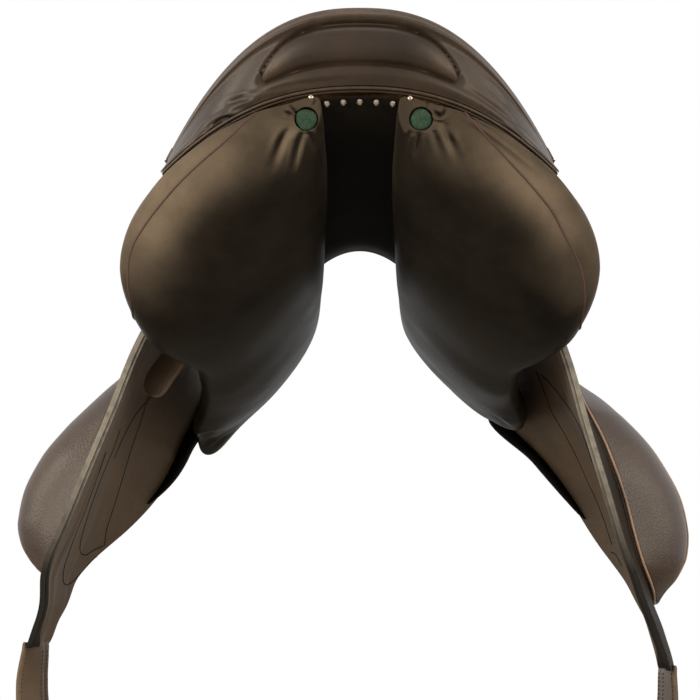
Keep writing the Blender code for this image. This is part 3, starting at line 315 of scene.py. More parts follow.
def smooth(*pairs):
    """Return a function through (key, values) pairs, without overshoot."""
    keys = np.array([pair[0] for pair in pairs], dtype=float)
    rows = np.array([np.atleast_1d(pair[1]) for pair in pairs], dtype=float)
    steps = np.diff(keys)[:, None]
    slopes = np.diff(rows, axis=0) / steps
    tangents = np.zeros_like(rows)
    tangents[0] = slopes[0]
    tangents[-1] = slopes[-1]
    for i in range(1, len(keys) - 1):
        before, after = slopes[i - 1], slopes[i]
        same = before * after > 0
        w1 = 2 * steps[i] + steps[i - 1]
        w2 = steps[i] + 2 * steps[i - 1]
        with np.errstate(divide="ignore", invalid="ignore"):
            mean = (w1 + w2) / (w1 / before + w2 / after)
        tangents[i] = np.where(same, mean, 0.0)

    def at(key):
        key = min(max(key, keys[0]), keys[-1])
        i = min(int(np.searchsorted(keys, key, side="right")) - 1, len(keys) - 2)
        step = keys[i + 1] - keys[i]
        t = (key - keys[i]) / step
        value = ((1 + 2 * t) * (1 - t) ** 2 * rows[i] + t * (1 - t) ** 2 * step * tangents[i]
                 + t * t * (3 - 2 * t) * rows[i + 1] + t * t * (t - 1) * step * tangents[i + 1])
        return value if len(value) > 1 else float(value[0])

    return at


def ease(t):
    """Go from 0 to 1 with level ends."""
    t = min(max(t, 0.0), 1.0)
    return t * t * (3 - 2 * t)


def ease_all(values):
    """Go from 0 to 1 with level ends, for all of an array's values."""
    t = np.clip(values, 0, 1)
    return t * t * (3 - 2 * t)


def smooth_steps(four, parts):
    """Return parts points of a smooth curve, from the second of four points on to the third."""
    a, b, c, d = four
    return [0.5 * (2 * b + (c - a) * t + (2 * a - 5 * b + 4 * c - d) * t ** 2
                   + (3 * b - a - 3 * c + d) * t ** 3) for t in (k / parts for k in range(parts))]


def ring_through(points, parts):
    """Return a closed smooth ring through points, with parts steps between two of them."""
    count = len(points)
    ring = []
    for i in range(count):
        ring += smooth_steps([np.array(points[(i + k) % count]) for k in (-1, 0, 1, 2)], parts)
    return ring


def raised(grid, distance):
    """Return a grid moved along its own normals, on the side that faces up."""
    points = np.array(grid, dtype=float)
    along = np.gradient(points, axis=0)
    across = np.gradient(points, axis=1)
    normals = np.cross(along, across)
    normals /= np.maximum(np.linalg.norm(normals, axis=2, keepdims=True), 1e-12)
    if np.mean(normals[..., 2]) < 0:
        normals = -normals
    return points + normals * distance


# Lines and surfaces that the pieces share


def line_x(y):
    """Return the skirt line's distance from the centre plane."""
    return LINE_X + LINE_X_SLOPE * y


def line_z(y):
    """Return the skirt line's height."""
    return LINE_Z + LINE_Z_SLOPE * y


def line_axis(side):
    """Return the skirt line's direction."""
    return Vector((LINE_X_SLOPE * side, 1.0, LINE_Z_SLOPE)).normalized()


def rim_point(s):
    """Return a point of the cantle's rim; s runs from -1 at the left end to 1 at the right one."""
    a = abs(s)
    return np.array((CANTLE_HALF * s,
                     CANTLE_REAR + (CANTLE_SIDE_Y - CANTLE_REAR) * a ** 2.5,
                     CANTLE_TOP - CANTLE_DROP * a ** 2.38))


def welt_point(s):
    """Return a point of the lower edge of the cantle's back face."""
    a = abs(s)
    return np.array((WELT_HALF * s,
                     WELT_REAR + (WELT_SIDE_Y - WELT_REAR) * a ** 2.4,
                     CANTLE_TOP - FACE_HEIGHT - WELT_DROP * a ** 2.3))


def edge(y):
    """Return the seat's edge over the skirt line."""
    return (line_x(y) - GAP, y, line_z(y) + 0.0015)


RIM_END = rim_point(1.0)

# Stations of the seat from pommel (0) to rim (1): centre y and z, edge x, y and z, and the
# power of the fall from the centre line to the edge.
SEAT = smooth(
    (0.00, (POMMEL_FRONT - 0.001, POMMEL_TOP - 0.030, 0.062, POMMEL_FRONT - 0.014, 0.018, 2.2)),
    (0.03, (POMMEL_FRONT, POMMEL_TOP - 0.017, 0.066, POMMEL_FRONT - 0.015, 0.026, 2.3)),
    (0.07, (POMMEL_FRONT - 0.007, POMMEL_TOP - 0.004, 0.069, POMMEL_FRONT - 0.022, 0.032, 2.4)),
    (0.12, (POMMEL_FRONT - 0.031, POMMEL_TOP, *edge(0.214), 2.5)),
    (0.22, (0.180, POMMEL_TOP - 0.008, *edge(0.175), 2.6)),
    (0.34, (0.120, SEAT_LOW + 0.014, *edge(0.120), 2.7)),
    (0.45, (0.060, SEAT_LOW + 0.003, *edge(0.062), 2.8)),
    (0.56, (0.000, SEAT_LOW, *edge(0.005), 2.8)),
    (0.67, (-0.060, SEAT_LOW + 0.007, *edge(-0.050), 2.7)),
    (0.76, (-0.110, SEAT_LOW + 0.021, CANTLE_HALF * 0.82, -0.092, 0.035, 2.6)),
    (0.83, (-0.150, SEAT_LOW + 0.041, CANTLE_HALF * 0.94, -0.113, 0.041, 2.5)),
    (0.89, (-0.185, CANTLE_TOP - 0.033, CANTLE_HALF * 0.98, -0.124, 0.0445, 2.45)),
    (0.94, (CANTLE_REAR + 0.022, CANTLE_TOP - 0.012, CANTLE_HALF * 0.996, -0.129, 0.0462, 2.4)),
    (0.98, (CANTLE_REAR + 0.008, CANTLE_TOP - 0.002, *RIM_END, 2.38)),
    (1.00, (CANTLE_REAR, CANTLE_TOP, *RIM_END, 2.38)),
)


def seat_point(t, s):
    """Return a point of the seat's surface; s runs from -1 at the left edge to 1 at the right."""
    yc, zc, xe, ye, ze, power = SEAT(t)
    a = abs(s)
    return (xe * s, yc + (ye - yc) * a ** 2.5, zc + (ze - zc) * a ** power)


# Flap, right side, by height: its distance from the centre plane, its rear and its front edge
FLAP_BASE = smooth((-0.345, 0.269), (-0.322, 0.2615), (-0.290, 0.2475), (-0.250, 0.230),
                   (-0.201, 0.211), (-0.150, 0.191), (-0.097, 0.1715), (-0.040, 0.141),
                   (0.000, 0.115), (LINE_Z, LINE_X + GAP))
FLAP_REAR = smooth((-0.343, 0.010), (-0.340, 0.003), (-0.333, -0.005), (-0.322, -0.012),
                   (-0.285, -0.038), (-0.230, -0.060), (-0.170, -0.078), (-0.110, -0.089),
                   (-0.070, -0.092), (-0.030, -0.080), (0.000, -0.060), (0.030, -0.046))
FLAP_FRONT = smooth((-0.343, 0.074), (-0.340, 0.081), (-0.333, 0.086), (-0.322, 0.092),
                    (-0.290, 0.112), (-0.235, 0.178), (-0.180, 0.232), (-0.130, 0.258),
                    (-0.080, 0.262), (-0.030, 0.246), (0.000, 0.228), (0.030, 0.206))

# How far each flap's tip has swung in, and how much more its rear edge has there
TIP_IN = {-1: 0.0030, 1: 0.0070}
TIP_REAR_IN = {-1: 0.0095, 1: 0.0}

# The flaps' own forms by height, left and right: how far the leather has bent out, and how far
# its front edge turns out for each metre from its rear edge
FLAP_FORM = {-1: smooth((-0.345, (-0.006, -0.160)), (-0.310, (-0.004, -0.130)),
                        (-0.280, (0.000, -0.085)), (-0.235, (0.000, -0.066)),
                        (-0.190, (0.000, -0.034)), (-0.150, (0.000, 0.000))),
             1: smooth((-0.345, (0.009, 0.100)), (-0.310, (0.007, 0.085)),
                       (-0.280, (0.002, 0.072)), (-0.240, (0.000, 0.085)),
                       (-0.200, (0.000, 0.098)), (-0.160, (0.000, 0.070)),
                       (-0.124, (0.000, 0.000)))}


def near_line(z):
    """Return the share of the skirt line's slant that a height takes part in."""
    return ease((z + 0.070) / 0.096)


def flap_x(y, z, side):
    """Return how far the flap's outer face stands from the centre plane."""
    top = near_line(z)
    z -= LINE_Z_SLOPE * y * top
    low = 1 - ease((z + 0.040) / 0.070)
    bow = FLAP_BOW * low * math.exp(-((y - 0.060) / 0.085) ** 2)
    turned = ease((y - 0.120) / 0.150) * ease((-0.045 - z) / 0.070) * ease((z + 0.330) / 0.110)
    slant = (line_x(y) - LINE_X) * top
    bent, twist = FLAP_FORM[side](z)
    slant += bent + twist * (y - FLAP_REAR(z))
    low = ease((-0.262 - z) / 0.060)
    tip = TIP_IN[side] * low + TIP_REAR_IN[side] * low * (1 - ease((y - FLAP_REAR(z)) / 0.080))
    return FLAP_BASE(z) + slant + bow - FLAP_TURN * turned + FLAP_THICK - tip


def channel_x(y):
    """Return half of the channel's width."""
    return CHANNEL_REAR + (CHANNEL_FRONT - CHANNEL_REAR) * ease((y + 0.230) / 0.450)


# Height of the channel's roof on the centre line
ROOF = smooth((-0.229, CANTLE_TOP - FACE_HEIGHT - 0.0100), (-0.200, 0.0612), (-0.160, 0.0465),
              (-0.110, 0.0300), (-0.060, 0.0135), (0.000, 0.0000), (0.060, 0.0045),
              (0.120, 0.0135), (0.180, 0.0240), (0.240, 0.0360))


def roof(u, y):
    """Return the roof's height; u is 0 on the centre line and 1 at its edges."""
    crown = ROOF_CROWN_REAR + (ROOF_CROWN - ROOF_CROWN_REAR) * ease((y + 0.200) / 0.200)
    return ROOF(y) - crown * u * u


def under_welt(x):
    """Return the height just under the welt at x."""
    return welt_point(x / WELT_HALF)[2] - 2 * WELT_RADIUS - WELT_SEAT - 4 * GAP


# Panel sections by y, right side. Each has seven points, from the channel's upper edge round the
# lower face to the outer side and back over the top. The channel gives the first one's place and
# the second one's x; a row gives the second one's z, then x and z of the other five.
PANEL = smooth(
    (-0.229, (0.050, 0.058, 0.044, 0.080, 0.044, 0.092, 0.052, 0.082, under_welt(0.082),
              0.056, under_welt(0.056))),
    (-0.220, (0.036, 0.066, 0.014, 0.104, 0.008, 0.128, 0.028, 0.112, under_welt(0.112),
              0.068, under_welt(0.068))),
    (-0.200, (0.014, 0.076, -0.022, 0.130, -0.030, 0.160, 0.002, 0.138, under_welt(0.138),
              0.080, under_welt(0.080) - 0.002)),
    (-0.170, (-0.008, 0.086, -0.054, 0.152, -0.088, 0.185, -0.048, 0.162, 0.012, 0.092, 0.044)),
    (-0.135, (-0.026, 0.090, -0.080, 0.150, -0.104, 0.177, -0.068, 0.152, 0.010, 0.090, 0.0275)),
    (-0.095, (-0.038, 0.088, -0.092, 0.134, -0.112, 0.148, -0.088, 0.110, 0.004, 0.078, 0.016)),
    (-0.050, (-0.047, 0.087, -0.100, 0.122, -0.116, 0.133, -0.092, 0.090, -0.010, 0.070, 0.004)),
    (0.010, (-0.054, 0.082, -0.108, 0.120, -0.128, 0.132, -0.104, 0.086, -0.014, 0.066, -0.004)),
    (0.080, (-0.058, 0.078, -0.113, 0.122, -0.138, 0.137, -0.116, 0.080, -0.018, 0.060, -0.006)),
    (0.140, (-0.056, 0.077, -0.111, 0.132, -0.149, 0.145, -0.128, 0.076, -0.024, 0.054, -0.004)),
    (0.200, (-0.048, 0.079, -0.108, 0.134, -0.151, 0.142, -0.132, 0.074, -0.026, 0.048, 0.002)),
    (0.235, (-0.040, 0.080, -0.100, 0.123, -0.140, 0.131, -0.120, 0.074, -0.024, 0.050, 0.006)),
    (0.250, (-0.026, 0.080, -0.084, 0.106, -0.112, 0.113, -0.100, 0.078, -0.040, 0.056, -0.002)),
)


def panel_ring(y):
    """Return the panel's section at y."""
    b_z, c_x, c_z, d_x, d_z, e_x, e_z, f_x, f_z, g_x, g_z = PANEL(y)
    inner = channel_x(y) + 0.0015
    top = min(roof(1, y) + CHANNEL_COVER - 0.0005, g_z + 0.014)
    points = [(inner, top), (inner + 0.002, b_z), (c_x, c_z), (d_x, d_z), (e_x, e_z),
              (f_x, f_z), (g_x, g_z)]
    return [(x, y, z) for x, z in ring_through(points, RING_PARTS)]


def facing_point(s, v):
    """Return a point of the cantle's back face; v is 0 at the rim and 1 at the welt."""
    top = rim_point(s) + np.array((0.0, -0.0012, -COVER - SHEET_GAP))
    low = welt_point(s)
    point = top + (low - top) * v
    point[1] -= FACE_BULGE * math.sin(math.pi * v) * (1 - s * s)
    return point


# Knee block on the flap's outer face: its rear and front edge, by z
BLOCK_REAR = smooth((BLOCK_BOTTOM, 0.082), (BLOCK_BOTTOM + 0.005, 0.068), (-0.280, 0.054),
                    (-0.240, 0.046), (-0.190, 0.046), (-0.145, 0.056), (-0.112, 0.074),
                    (BLOCK_TOP, 0.092))
BLOCK_FRONT = smooth((BLOCK_BOTTOM, 0.086), (BLOCK_BOTTOM + 0.005, 0.096), (-0.280, 0.116),
                     (-0.240, 0.163), (-0.190, 0.212), (-0.145, 0.222), (-0.112, 0.180),
                     (BLOCK_TOP, 0.100))
# Each block's upper and lower end, the share of its full height by z, and how much nearer the
# rear edge its base begins, as photographed
BLOCK_ENDS = {-1: (BLOCK_TOP - 0.004, -0.286), 1: (BLOCK_TOP - 0.002, -0.287)}
BLOCK_RIDGE = {
    -1: smooth((-0.286, 0.04), (-0.279, 0.17), (-0.2695, 0.39), (-0.254, 0.68), (-0.235, 0.89),
               (-0.205, 1.00), (-0.180, 0.93), (-0.151, 0.70), (-0.117, 0.32), (-0.102, 0.10)),
    1: smooth((-0.287, 0.03), (-0.278, 0.15), (-0.264, 0.42), (-0.244, 0.69), (-0.222, 0.81),
              (-0.197, 0.84), (-0.1715, 0.80), (-0.144, 0.72), (-0.112, 0.42), (-0.100, 0.12))}
BLOCK_BACK = {-1: 0.0, 1: 0.026}


def block_rear(z, side):
    """Return the block's rear border."""
    high, low = BLOCK_ENDS[side]
    inside = ease((z - low) / 0.030) * ease((high - z) / 0.030)
    return BLOCK_REAR(max(z, BLOCK_BOTTOM + 0.004)) - BLOCK_BACK[side] * inside


def block_profile(u):
    """Return the block's share of its height from its rear edge (0) to its front edge (1)."""
    if u < BLOCK_CREST:
        return 1 - (1 - u / BLOCK_CREST) ** 1.7
    return max(math.cos(math.pi / 2 * (u - BLOCK_CREST) / (1 - BLOCK_CREST)), 0.0) ** 0.8


def web_room(y, z):
    """Return how far the lining swells over the billet web."""
    across = 1 - ease((abs(y - BILLET_Y) - BILLET_WEB_WIDTH / 2 - 0.010) / 0.014)
    return (BILLET_WEB + WEB_SEAT) * across * ease((WEB_TOP + 0.022 - z) / 0.016)


def skirt_drop(y):
    """Return how far the skirt reaches below the skirt line at y."""
    t = (y - SKIRT_REAR) / (SKIRT_FRONT - SKIRT_REAR)
    return SKIRT_DROP * (0.10 + 0.90 * math.sin(math.pi * t ** 0.85) ** 0.55)


def billet_path(side):
    """Return the billet's centre line as (x, z), bent by its lean from the vertical."""
    lean = smooth((0.0, 5.0), (0.020, 2.0), (0.060, -16.0), (0.110, -24.0), (0.300, -8.0))
    x = flap_x(BILLET_Y, FLAP_BOTTOM, side) - FLAP_THICK - GAP - BILLET_WEB / 2
    z = FLAP_BOTTOM - 2 * GAP - BILLET_THICK / 2
    points = [(x, z)]
    for i in range(BILLET_STEPS):
        angle = math.radians(lean(BILLET_LENGTH * (i + 0.5) / BILLET_STEPS))
        x += math.sin(angle) * BILLET_LENGTH / BILLET_STEPS
        z -= math.cos(angle) * BILLET_LENGTH / BILLET_STEPS
        points.append((x, z))
    return points


# Making pieces

def smooth_line(points, parts):
    """Return a smooth line through points, with parts steps between two of them."""
    p = np.array(points, dtype=float)
    line = []
    for i in range(len(p) - 1):
        line += smooth_steps([p[min(max(i + k, 0), len(p) - 1)] for k in (-1, 0, 1, 2)], parts)
    return np.array(line + [p[-1]])


def even_line(points, step):
    """Return points a step apart along a line."""
    p = np.array(points, dtype=float)
    run = np.concatenate([[0], np.cumsum(np.linalg.norm(np.diff(p, axis=0), axis=1))])
    places = np.linspace(0, run[-1], max(int(run[-1] / step), 1) + 1)
    return np.stack([np.interp(places, run, p[:, k]) for k in range(p.shape[1])], 1)


def sheet(outer, inner):
    """Return points and faces of a closed sheet between two grids; the rim's faces come last."""
    outer, inner = np.array(outer, dtype=float), np.array(inner, dtype=float)
    rows, columns = outer.shape[:2]
    points = np.concatenate([outer.reshape(-1, 3), inner.reshape(-1, 3)])
    half = rows * columns
    faces = []
    for i in range(rows - 1):
        for j in range(columns - 1):
            a = i * columns + j
            quad = (a, a + columns, a + columns + 1, a + 1)
            faces.append(quad)
            faces.append(tuple(half + q for q in reversed(quad)))
    rim = [i * columns for i in range(rows)]
    rim += [(rows - 1) * columns + j for j in range(1, columns)]
    rim += [i * columns + columns - 1 for i in range(rows - 2, -1, -1)]
    rim += list(range(columns - 2, 0, -1))
    body_faces = len(faces)
    faces += [(a, half + a, half + b, b) for a, b in zip(rim, rim[1:] + rim[:1])]
    return points, faces, body_faces


def lofted(rings):
    """Return points and faces through rings, closed at both ends by a fan."""
    rings = np.array(rings, dtype=float)
    count = rings.shape[1]
    points = list(rings.reshape(-1, 3))
    faces = []
    for i in range(len(rings) - 1):
        for j in range(count):
            k = (j + 1) % count
            faces.append((i * count + j, i * count + k, (i + 1) * count + k, (i + 1) * count + j))
    for i in (0, len(rings) - 1):
        points.append(rings[i].mean(0))
        tip = len(points) - 1
        faces += [(i * count + j, i * count + (j + 1) % count, tip) for j in range(count)]
    return np.array(points), faces


def cord_rings(path, radius, sides=8):
    """Return the rings of a round cord along a path; radius may differ from point to point."""
    p = np.array(path, dtype=float)
    tangents = np.gradient(p, axis=0)
    tangents /= np.linalg.norm(tangents, axis=1, keepdims=True)
    radii = np.broadcast_to(radius, len(p))
    side = np.cross(tangents[0], (0.31, 0.52, 0.79))
    rings = []
    for point, tangent, r in zip(p, tangents, radii):
        side = side - tangent * (side @ tangent)
        side /= np.linalg.norm(side)
        up = np.cross(tangent, side)
        angles = np.arange(sides) * 2 * math.pi / sides
        rings.append(point + r * (np.cos(angles)[:, None] * side + np.sin(angles)[:, None] * up))
    return rings


SHARP = math.radians(50.0)


def make(name, shape, body, finish, nodes=(), rim=None, bevel=0.0, place=None,
         worn=None):
    """Make a piece of the saddle from points and faces, and let it ride on its body.

    rim is the finish of the faces after shape's third value, worn gives how rubbed each point is.
    Edges that turn by more than SHARP stay sharp, or get the bevel.
    """
    points, faces = shape[:2]
    mesh = bpy.data.meshes.new(name)
    mesh.from_pydata([tuple(map(float, point)) for point in points], [], faces)
    mesh.materials.append(finish)
    if rim is not None:
        mesh.materials.append(rim)
        for face in mesh.polygons[shape[2]:]:
            face.material_index = 1
    values = mesh.attributes.new("worn", "FLOAT", "POINT")
    if worn is not None:
        values.data.foreach_set("value", np.clip(np.ravel(worn), 0, 1).astype(np.float32))
    if place is not None:
        mesh.transform(place)
    bm = bmesh.new()
    bm.from_mesh(mesh)
    bmesh.ops.remove_doubles(bm, verts=bm.verts, dist=0.000001)
    bmesh.ops.recalc_face_normals(bm, faces=bm.faces)
    bm.to_mesh(mesh)
    bm.free()
    mesh.shade_smooth()
    mesh.set_sharp_from_angle(angle=SHARP)
    obj = bpy.data.objects.new(name, mesh)
    bpy.context.scene.collection.objects.link(obj)
    if bevel:
        rounded = obj.modifiers.new("rounded_edge", "BEVEL")
        rounded.width = bevel
        rounded.segments = 3
        rounded.limit_method = "ANGLE"
        rounded.angle_limit = SHARP
    return dress(obj, body, nodes)


def dress(obj, body, nodes=()):
    """Let a piece ride on its body and hide the solids that it stands for."""
    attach(obj, body)
    if nodes:
        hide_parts(*nodes)
    return obj


def evaluated_mesh(obj, name):
    """Return the plain mesh that an object's modifiers make."""
    graph = bpy.context.evaluated_depsgraph_get()
    mesh = bpy.data.meshes.new_from_object(obj.evaluated_get(graph))
    mesh.name = name
    return mesh


def stitch_tree():
    """Return the Geometry Nodes tree that sews a row of stitches along each line of a mesh."""
    tree = bpy.data.node_groups.new("sewn_row", "GeometryNodeTree")
    face = tree.interface
    face.new_socket("Lines", in_out="INPUT", socket_type="NodeSocketGeometry")
    for name in ("Pitch", "Length", "Thickness"):
        face.new_socket(name, in_out="INPUT", socket_type="NodeSocketFloat")
    face.new_socket("Thread", in_out="INPUT", socket_type="NodeSocketMaterial")
    face.new_socket("Stitches", in_out="OUTPUT", socket_type="NodeSocketGeometry")
    given = add(tree, "NodeGroupInput").outputs
    curve = add(tree, "GeometryNodeMeshToCurve", {"Mesh": given["Lines"]})
    spaced = add(tree, "GeometryNodeResampleCurve", {"Curve": curve.outputs[0],
                                                     "Length": given["Pitch"]}, mode="LENGTH")
    tangent = add(tree, "GeometryNodeInputTangent")
    turned = add(tree, "FunctionNodeAlignRotationToVector", {"Vector": tangent.outputs[0]},
                 axis="Z")
    bead = add(tree, "GeometryNodeMeshUVSphere", {"Segments": 6, "Rings": 5, "Radius": 0.5})
    size = add(tree, "ShaderNodeCombineXYZ", {0: given["Thickness"], 1: given["Thickness"],
                                              2: given["Length"]})
    sewn = add(tree, "GeometryNodeInstanceOnPoints",
               {"Points": spaced.outputs[0], "Instance": bead.outputs[0],
                "Rotation": turned.outputs[0], "Scale": size.outputs[0]})
    real = add(tree, "GeometryNodeRealizeInstances", {"Geometry": sewn.outputs[0]})
    soft = add(tree, "GeometryNodeSetShadeSmooth", {"Geometry": real.outputs[0]})
    coloured = add(tree, "GeometryNodeSetMaterial", {"Geometry": soft.outputs[0],
                                                     "Material": given["Thread"]})
    add(tree, "NodeGroupOutput", {0: coloured.outputs[0]})
    return tree


SEWN_ROW = stitch_tree()


def sew(name, lines, body, thread=DARK_THREAD, pitch=0.0034, length=0.0026, thickness=0.0008):
    """Sew rows of stitches along lines of points, all of one body, as one piece."""
    points, edges = [], []
    for line in lines:
        first = len(points)
        points += [tuple(map(float, point)) for point in line]
        edges += [(k, k + 1) for k in range(first, len(points) - 1)]
    mesh = bpy.data.meshes.new(name)
    mesh.from_pydata(points, edges, [])
    rows = bpy.data.objects.new(name + "_rows", mesh)
    bpy.context.scene.collection.objects.link(rows)
    modifier = rows.modifiers.new("sewn_row", "NODES")
    modifier.node_group = SEWN_ROW
    values = {"Pitch": pitch, "Length": length, "Thickness": thickness, "Thread": thread}
    for item in SEWN_ROW.interface.items_tree:
        if item.item_type == "SOCKET" and item.name in values:
            modifier[item.identifier] = values[item.name]
    obj = bpy.data.objects.new(name, evaluated_mesh(rows, name))
    bpy.data.objects.remove(rows)
    bpy.context.scene.collection.objects.link(obj)
    return dress(obj, body, ())


def to_picture(points):
    """Return where points lie in the photograph's frame, in its pixels."""
    p = (np.asarray(points, dtype=float) - np.array(STAND)) @ np.array(AIM)
    middle = PICTURE_PX / 2
    return np.stack([middle - FOCAL_PX * p[:, 0] / p[:, 2], middle + FOCAL_PX * p[:, 1] / p[:, 2]],
                    1)


def met(obj, pixels, step=1.5, lift=0.0002):
    """Return the points of a piece's surface that lie behind a smooth line of picture points."""
    mesh = obj.data
    tree = BVHTree.FromPolygons([v.co for v in mesh.vertices],
                                [tuple(face.vertices) for face in mesh.polygons])
    line = []
    for x, y in even_line(smooth_line(pixels, 8), step):
        way = AIM @ Vector((x - PICTURE_PX / 2, PICTURE_PX / 2 - y, -FOCAL_PX)).normalized()
        place, normal, _, _ = tree.ray_cast(Vector(STAND), way)
        if place is not None:
            line.append(np.array(place + normal * (lift if normal.dot(way) < 0 else -lift)))
    return line


def read_points(mesh):
    """Return a mesh's points and their normals."""
    places, normals = np.empty(len(mesh.vertices) * 3), np.empty(len(mesh.vertices) * 3)
    mesh.vertices.foreach_get("co", places)
    mesh.vertices.foreach_get("normal", normals)
    return places.reshape(-1, 3), normals.reshape(-1, 3)


def press(obj, strokes, nearest=-1.0, furthest=1.0):
    """Press folds into a piece: picture points of each, its width in pixels, its depth in metres.

    A fold has a hollow along its line and a soft swelling on both sides, and fades at its ends.
    """
    mesh = obj.data
    places, normals = read_points(mesh)
    count = len(places)
    seen = to_picture(places)
    away = places - np.array(STAND)
    away /= np.linalg.norm(away, axis=1, keepdims=True)
    faces_camera = np.clip(-(normals * away).sum(1) * 3, 0, 1)
    faces_camera *= (places[:, 1] > nearest) & (places[:, 1] < furthest)
    move = np.zeros(count)
    for pixels, width, depth in strokes:
        line = smooth_line(pixels, 6)
        best, share = np.full(count, 1e9), np.zeros(count)
        for k, (a, b) in enumerate(zip(line, line[1:])):
            along = b - a
            t = np.clip(((seen - a) @ along) / max(along @ along, 1e-9), 0, 1)
            far = np.linalg.norm(seen - a - t[:, None] * along, axis=1)
            closer = far < best
            best = np.where(closer, far, best)
            share = np.where(closer, (k + t) / (len(line) - 1), share)
        taper = np.clip(np.sin(math.pi * np.clip(share, 0.02, 0.98)), 0, 1) ** 0.6
        hollow = np.exp(-(best / width) ** 2) - 0.35 * np.exp(-((best - 2.0 * width) / width) ** 2)
        move += depth * hollow * taper
    places -= normals * (move * faces_camera)[:, None]
    mesh.vertices.foreach_set("co", places.ravel())
    mesh.update()


def hung(side):
    """Return the transform that hangs a flap's pieces as far out as the photographed ones."""
    at = Vector((line_x(0.0) * side, 0.0, line_z(0.0)))
    turn = Matrix.Rotation(math.radians(-SPLAY[side] * side), 4, line_axis(side))
    return Matrix.Translation(at) @ turn @ Matrix.Translation(-at)


def on_side(grid, side):
    """Return a grid of the right side on the given side: 1 is right, -1 is left."""
    return np.array(grid, dtype=float) * np.array((side, 1.0, 1.0))


def moved(points, place):
    """Return points moved by a transform."""
    return [place @ Vector(point) for point in points]


def sine_spread(count):
    """Return values from -1 to 1 that lie closer together at both ends."""
    return np.sin(np.linspace(-math.pi / 2, math.pi / 2, count))


def sine_shares(count):
    """Return values from 0 to 1 that lie closer together at both ends."""
    return (1 + sine_spread(count)) / 2


def twice(worn):
    """Return how rubbed a sheet's points are, from one grid's values for both of its faces."""
    return np.concatenate([worn, worn])


SIDES = ((-1, "left"), (1, "right"))

# Seat

SEAT_SEAM_S = 0.955     # where the seat's side seams run, from the centre line to its edge
SEAT_SEAM_T = 0.962     # and its rear one, from the pommel to the rim
RIM_DIP = 0.0022        # how far the seat's leather dips under the facing's roll


def seat_top(t, s):
    """Return a point of the seat, and its normal; near the rim it dips under the facing's roll."""
    step = 0.002
    point = np.array(seat_point(t, s))
    a = np.array(seat_point(min(t + step, 1.0), s)) - np.array(seat_point(t - step, s))
    b = np.array(seat_point(t, min(s + step, 1.0))) - np.array(seat_point(t, max(s - step, -1.0)))
    normal = np.cross(b, a)
    normal /= max(np.linalg.norm(normal), 1e-9)
    if normal[2] < 0:
        normal = -normal
    return point - normal * RIM_DIP * ease((t - 0.90) / 0.06), normal


def dress_seat():
    """Make the seat's leather with its sewn edges."""
    ts = np.concatenate([np.linspace(0.002, 0.12, 14), np.linspace(0.13, 0.90, 62),
                         np.linspace(0.91, 0.99, 14)])
    ss = sine_spread(97)
    outer = np.array([[seat_top(t, s)[0] for s in ss] for t in ts])
    inner = raised(outer, -COVER)
    worn = [[0.55 * ease((abs(s) - 0.9) / 0.1) + 0.25 * ease((t - 0.8) / 0.2) for s in ss]
            for t in ts]
    make("seat_leather", sheet(outer, inner), "tree", SEAT_HIDE, ("seat_cover",),
         bevel=0.0011, worn=worn + worn)
    rows = []
    for s in (-SEAT_SEAM_S, SEAT_SEAM_S):
        rows.append([seat_top(t, s)[0] for t in np.linspace(0.10, 0.74, 90)])
    rear = [seat_top(SEAT_SEAM_T, s) for s in np.linspace(-0.93, 0.93, 140)]
    rows.append([point + 0.0003 * normal for point, normal in rear])
    sew("seat_edge_stitches", rows, "tree")


# Cantle


def outline_distance(places, outline):
    """Return each place's distance to a closed outline, below zero inside it."""
    best = np.full(len(places), 1e9)
    inside = np.zeros(len(places), dtype=bool)
    for a, b in zip(outline, np.roll(outline, -1, axis=0)):
        along = b - a
        t = np.clip(((places - a) @ along) / max(along @ along, 1e-12), 0, 1)
        best = np.minimum(best, np.linalg.norm(places - a - t[:, None] * along, axis=1))
        rise = (a[1] > places[:, 1]) != (b[1] > places[:, 1])
        cross = (b[0] - a[0]) * (places[:, 1] - a[1]) / (b[1] - a[1] + 1e-12) + a[0]
        inside ^= rise & (places[:, 0] < cross)
    return np.where(inside, -best, best)


def facing_flat(s, v):
    """Return where a point of the facing lies when the facing is laid flat, in metres."""
    return (s * CANTLE_HALF, v * FACE_HEIGHT)


INLAY_REACH = 0.0745 / CANTLE_HALF     # half of the crescent's width, as a share of the rim's
BACKWARD = np.array((0.0, -1.0, 0.0))
GROOVE_DEPTH = 0.0030
GROOVE_WIDTH = 0.0017
INLAY_RISE = 0.0072     # from the crescent's edge, pressed into the groove, to its middle
FACING_BACK = 0.0022    # thickness of the visible facing leather
FACING_TOP = 0.15       # where the facing's flat part begins, as v, below its roll
# How far the roll over the rim stands out of the back face, by v
ROLL = ((0.0, 0.0024), (0.03, 0.0042), (0.06, 0.0048), (0.09, 0.0042), (0.12, 0.0028))
# Folds of the facing at the cantle's ends, in the picture: points, width and depth
FACING_CREASES = [
    ([(208, 130), (222, 120), (236, 118), (250, 110)], 2.2, 0.0034),
    ([(196, 138), (206, 127), (214, 121)], 1.8, 0.0022),
    ([(228, 104), (240, 99), (252, 98)], 2.6, 0.0016),
    ([(262, 92), (300, 84), (350, 79)], 2.4, 0.0008),
    ([(470, 90), (490, 104), (508, 118), (520, 134)], 2.2, 0.0012),
    ([(486, 84), (498, 96), (506, 108)], 2.4, 0.0010),
    ([(500, 126), (516, 136), (528, 148)], 1.8, 0.0018),
]


def inlay_band(s):
    """Return the crescent inlay's upper and lower edge as v."""
    t = min(abs(s) / INLAY_REACH, 1.0)
    middle = 0.430 + 0.205 * t ** 5
    half = 0.272 * math.sqrt(max(1 - t ** 5.5, 0.0))
    return middle - half, middle + half


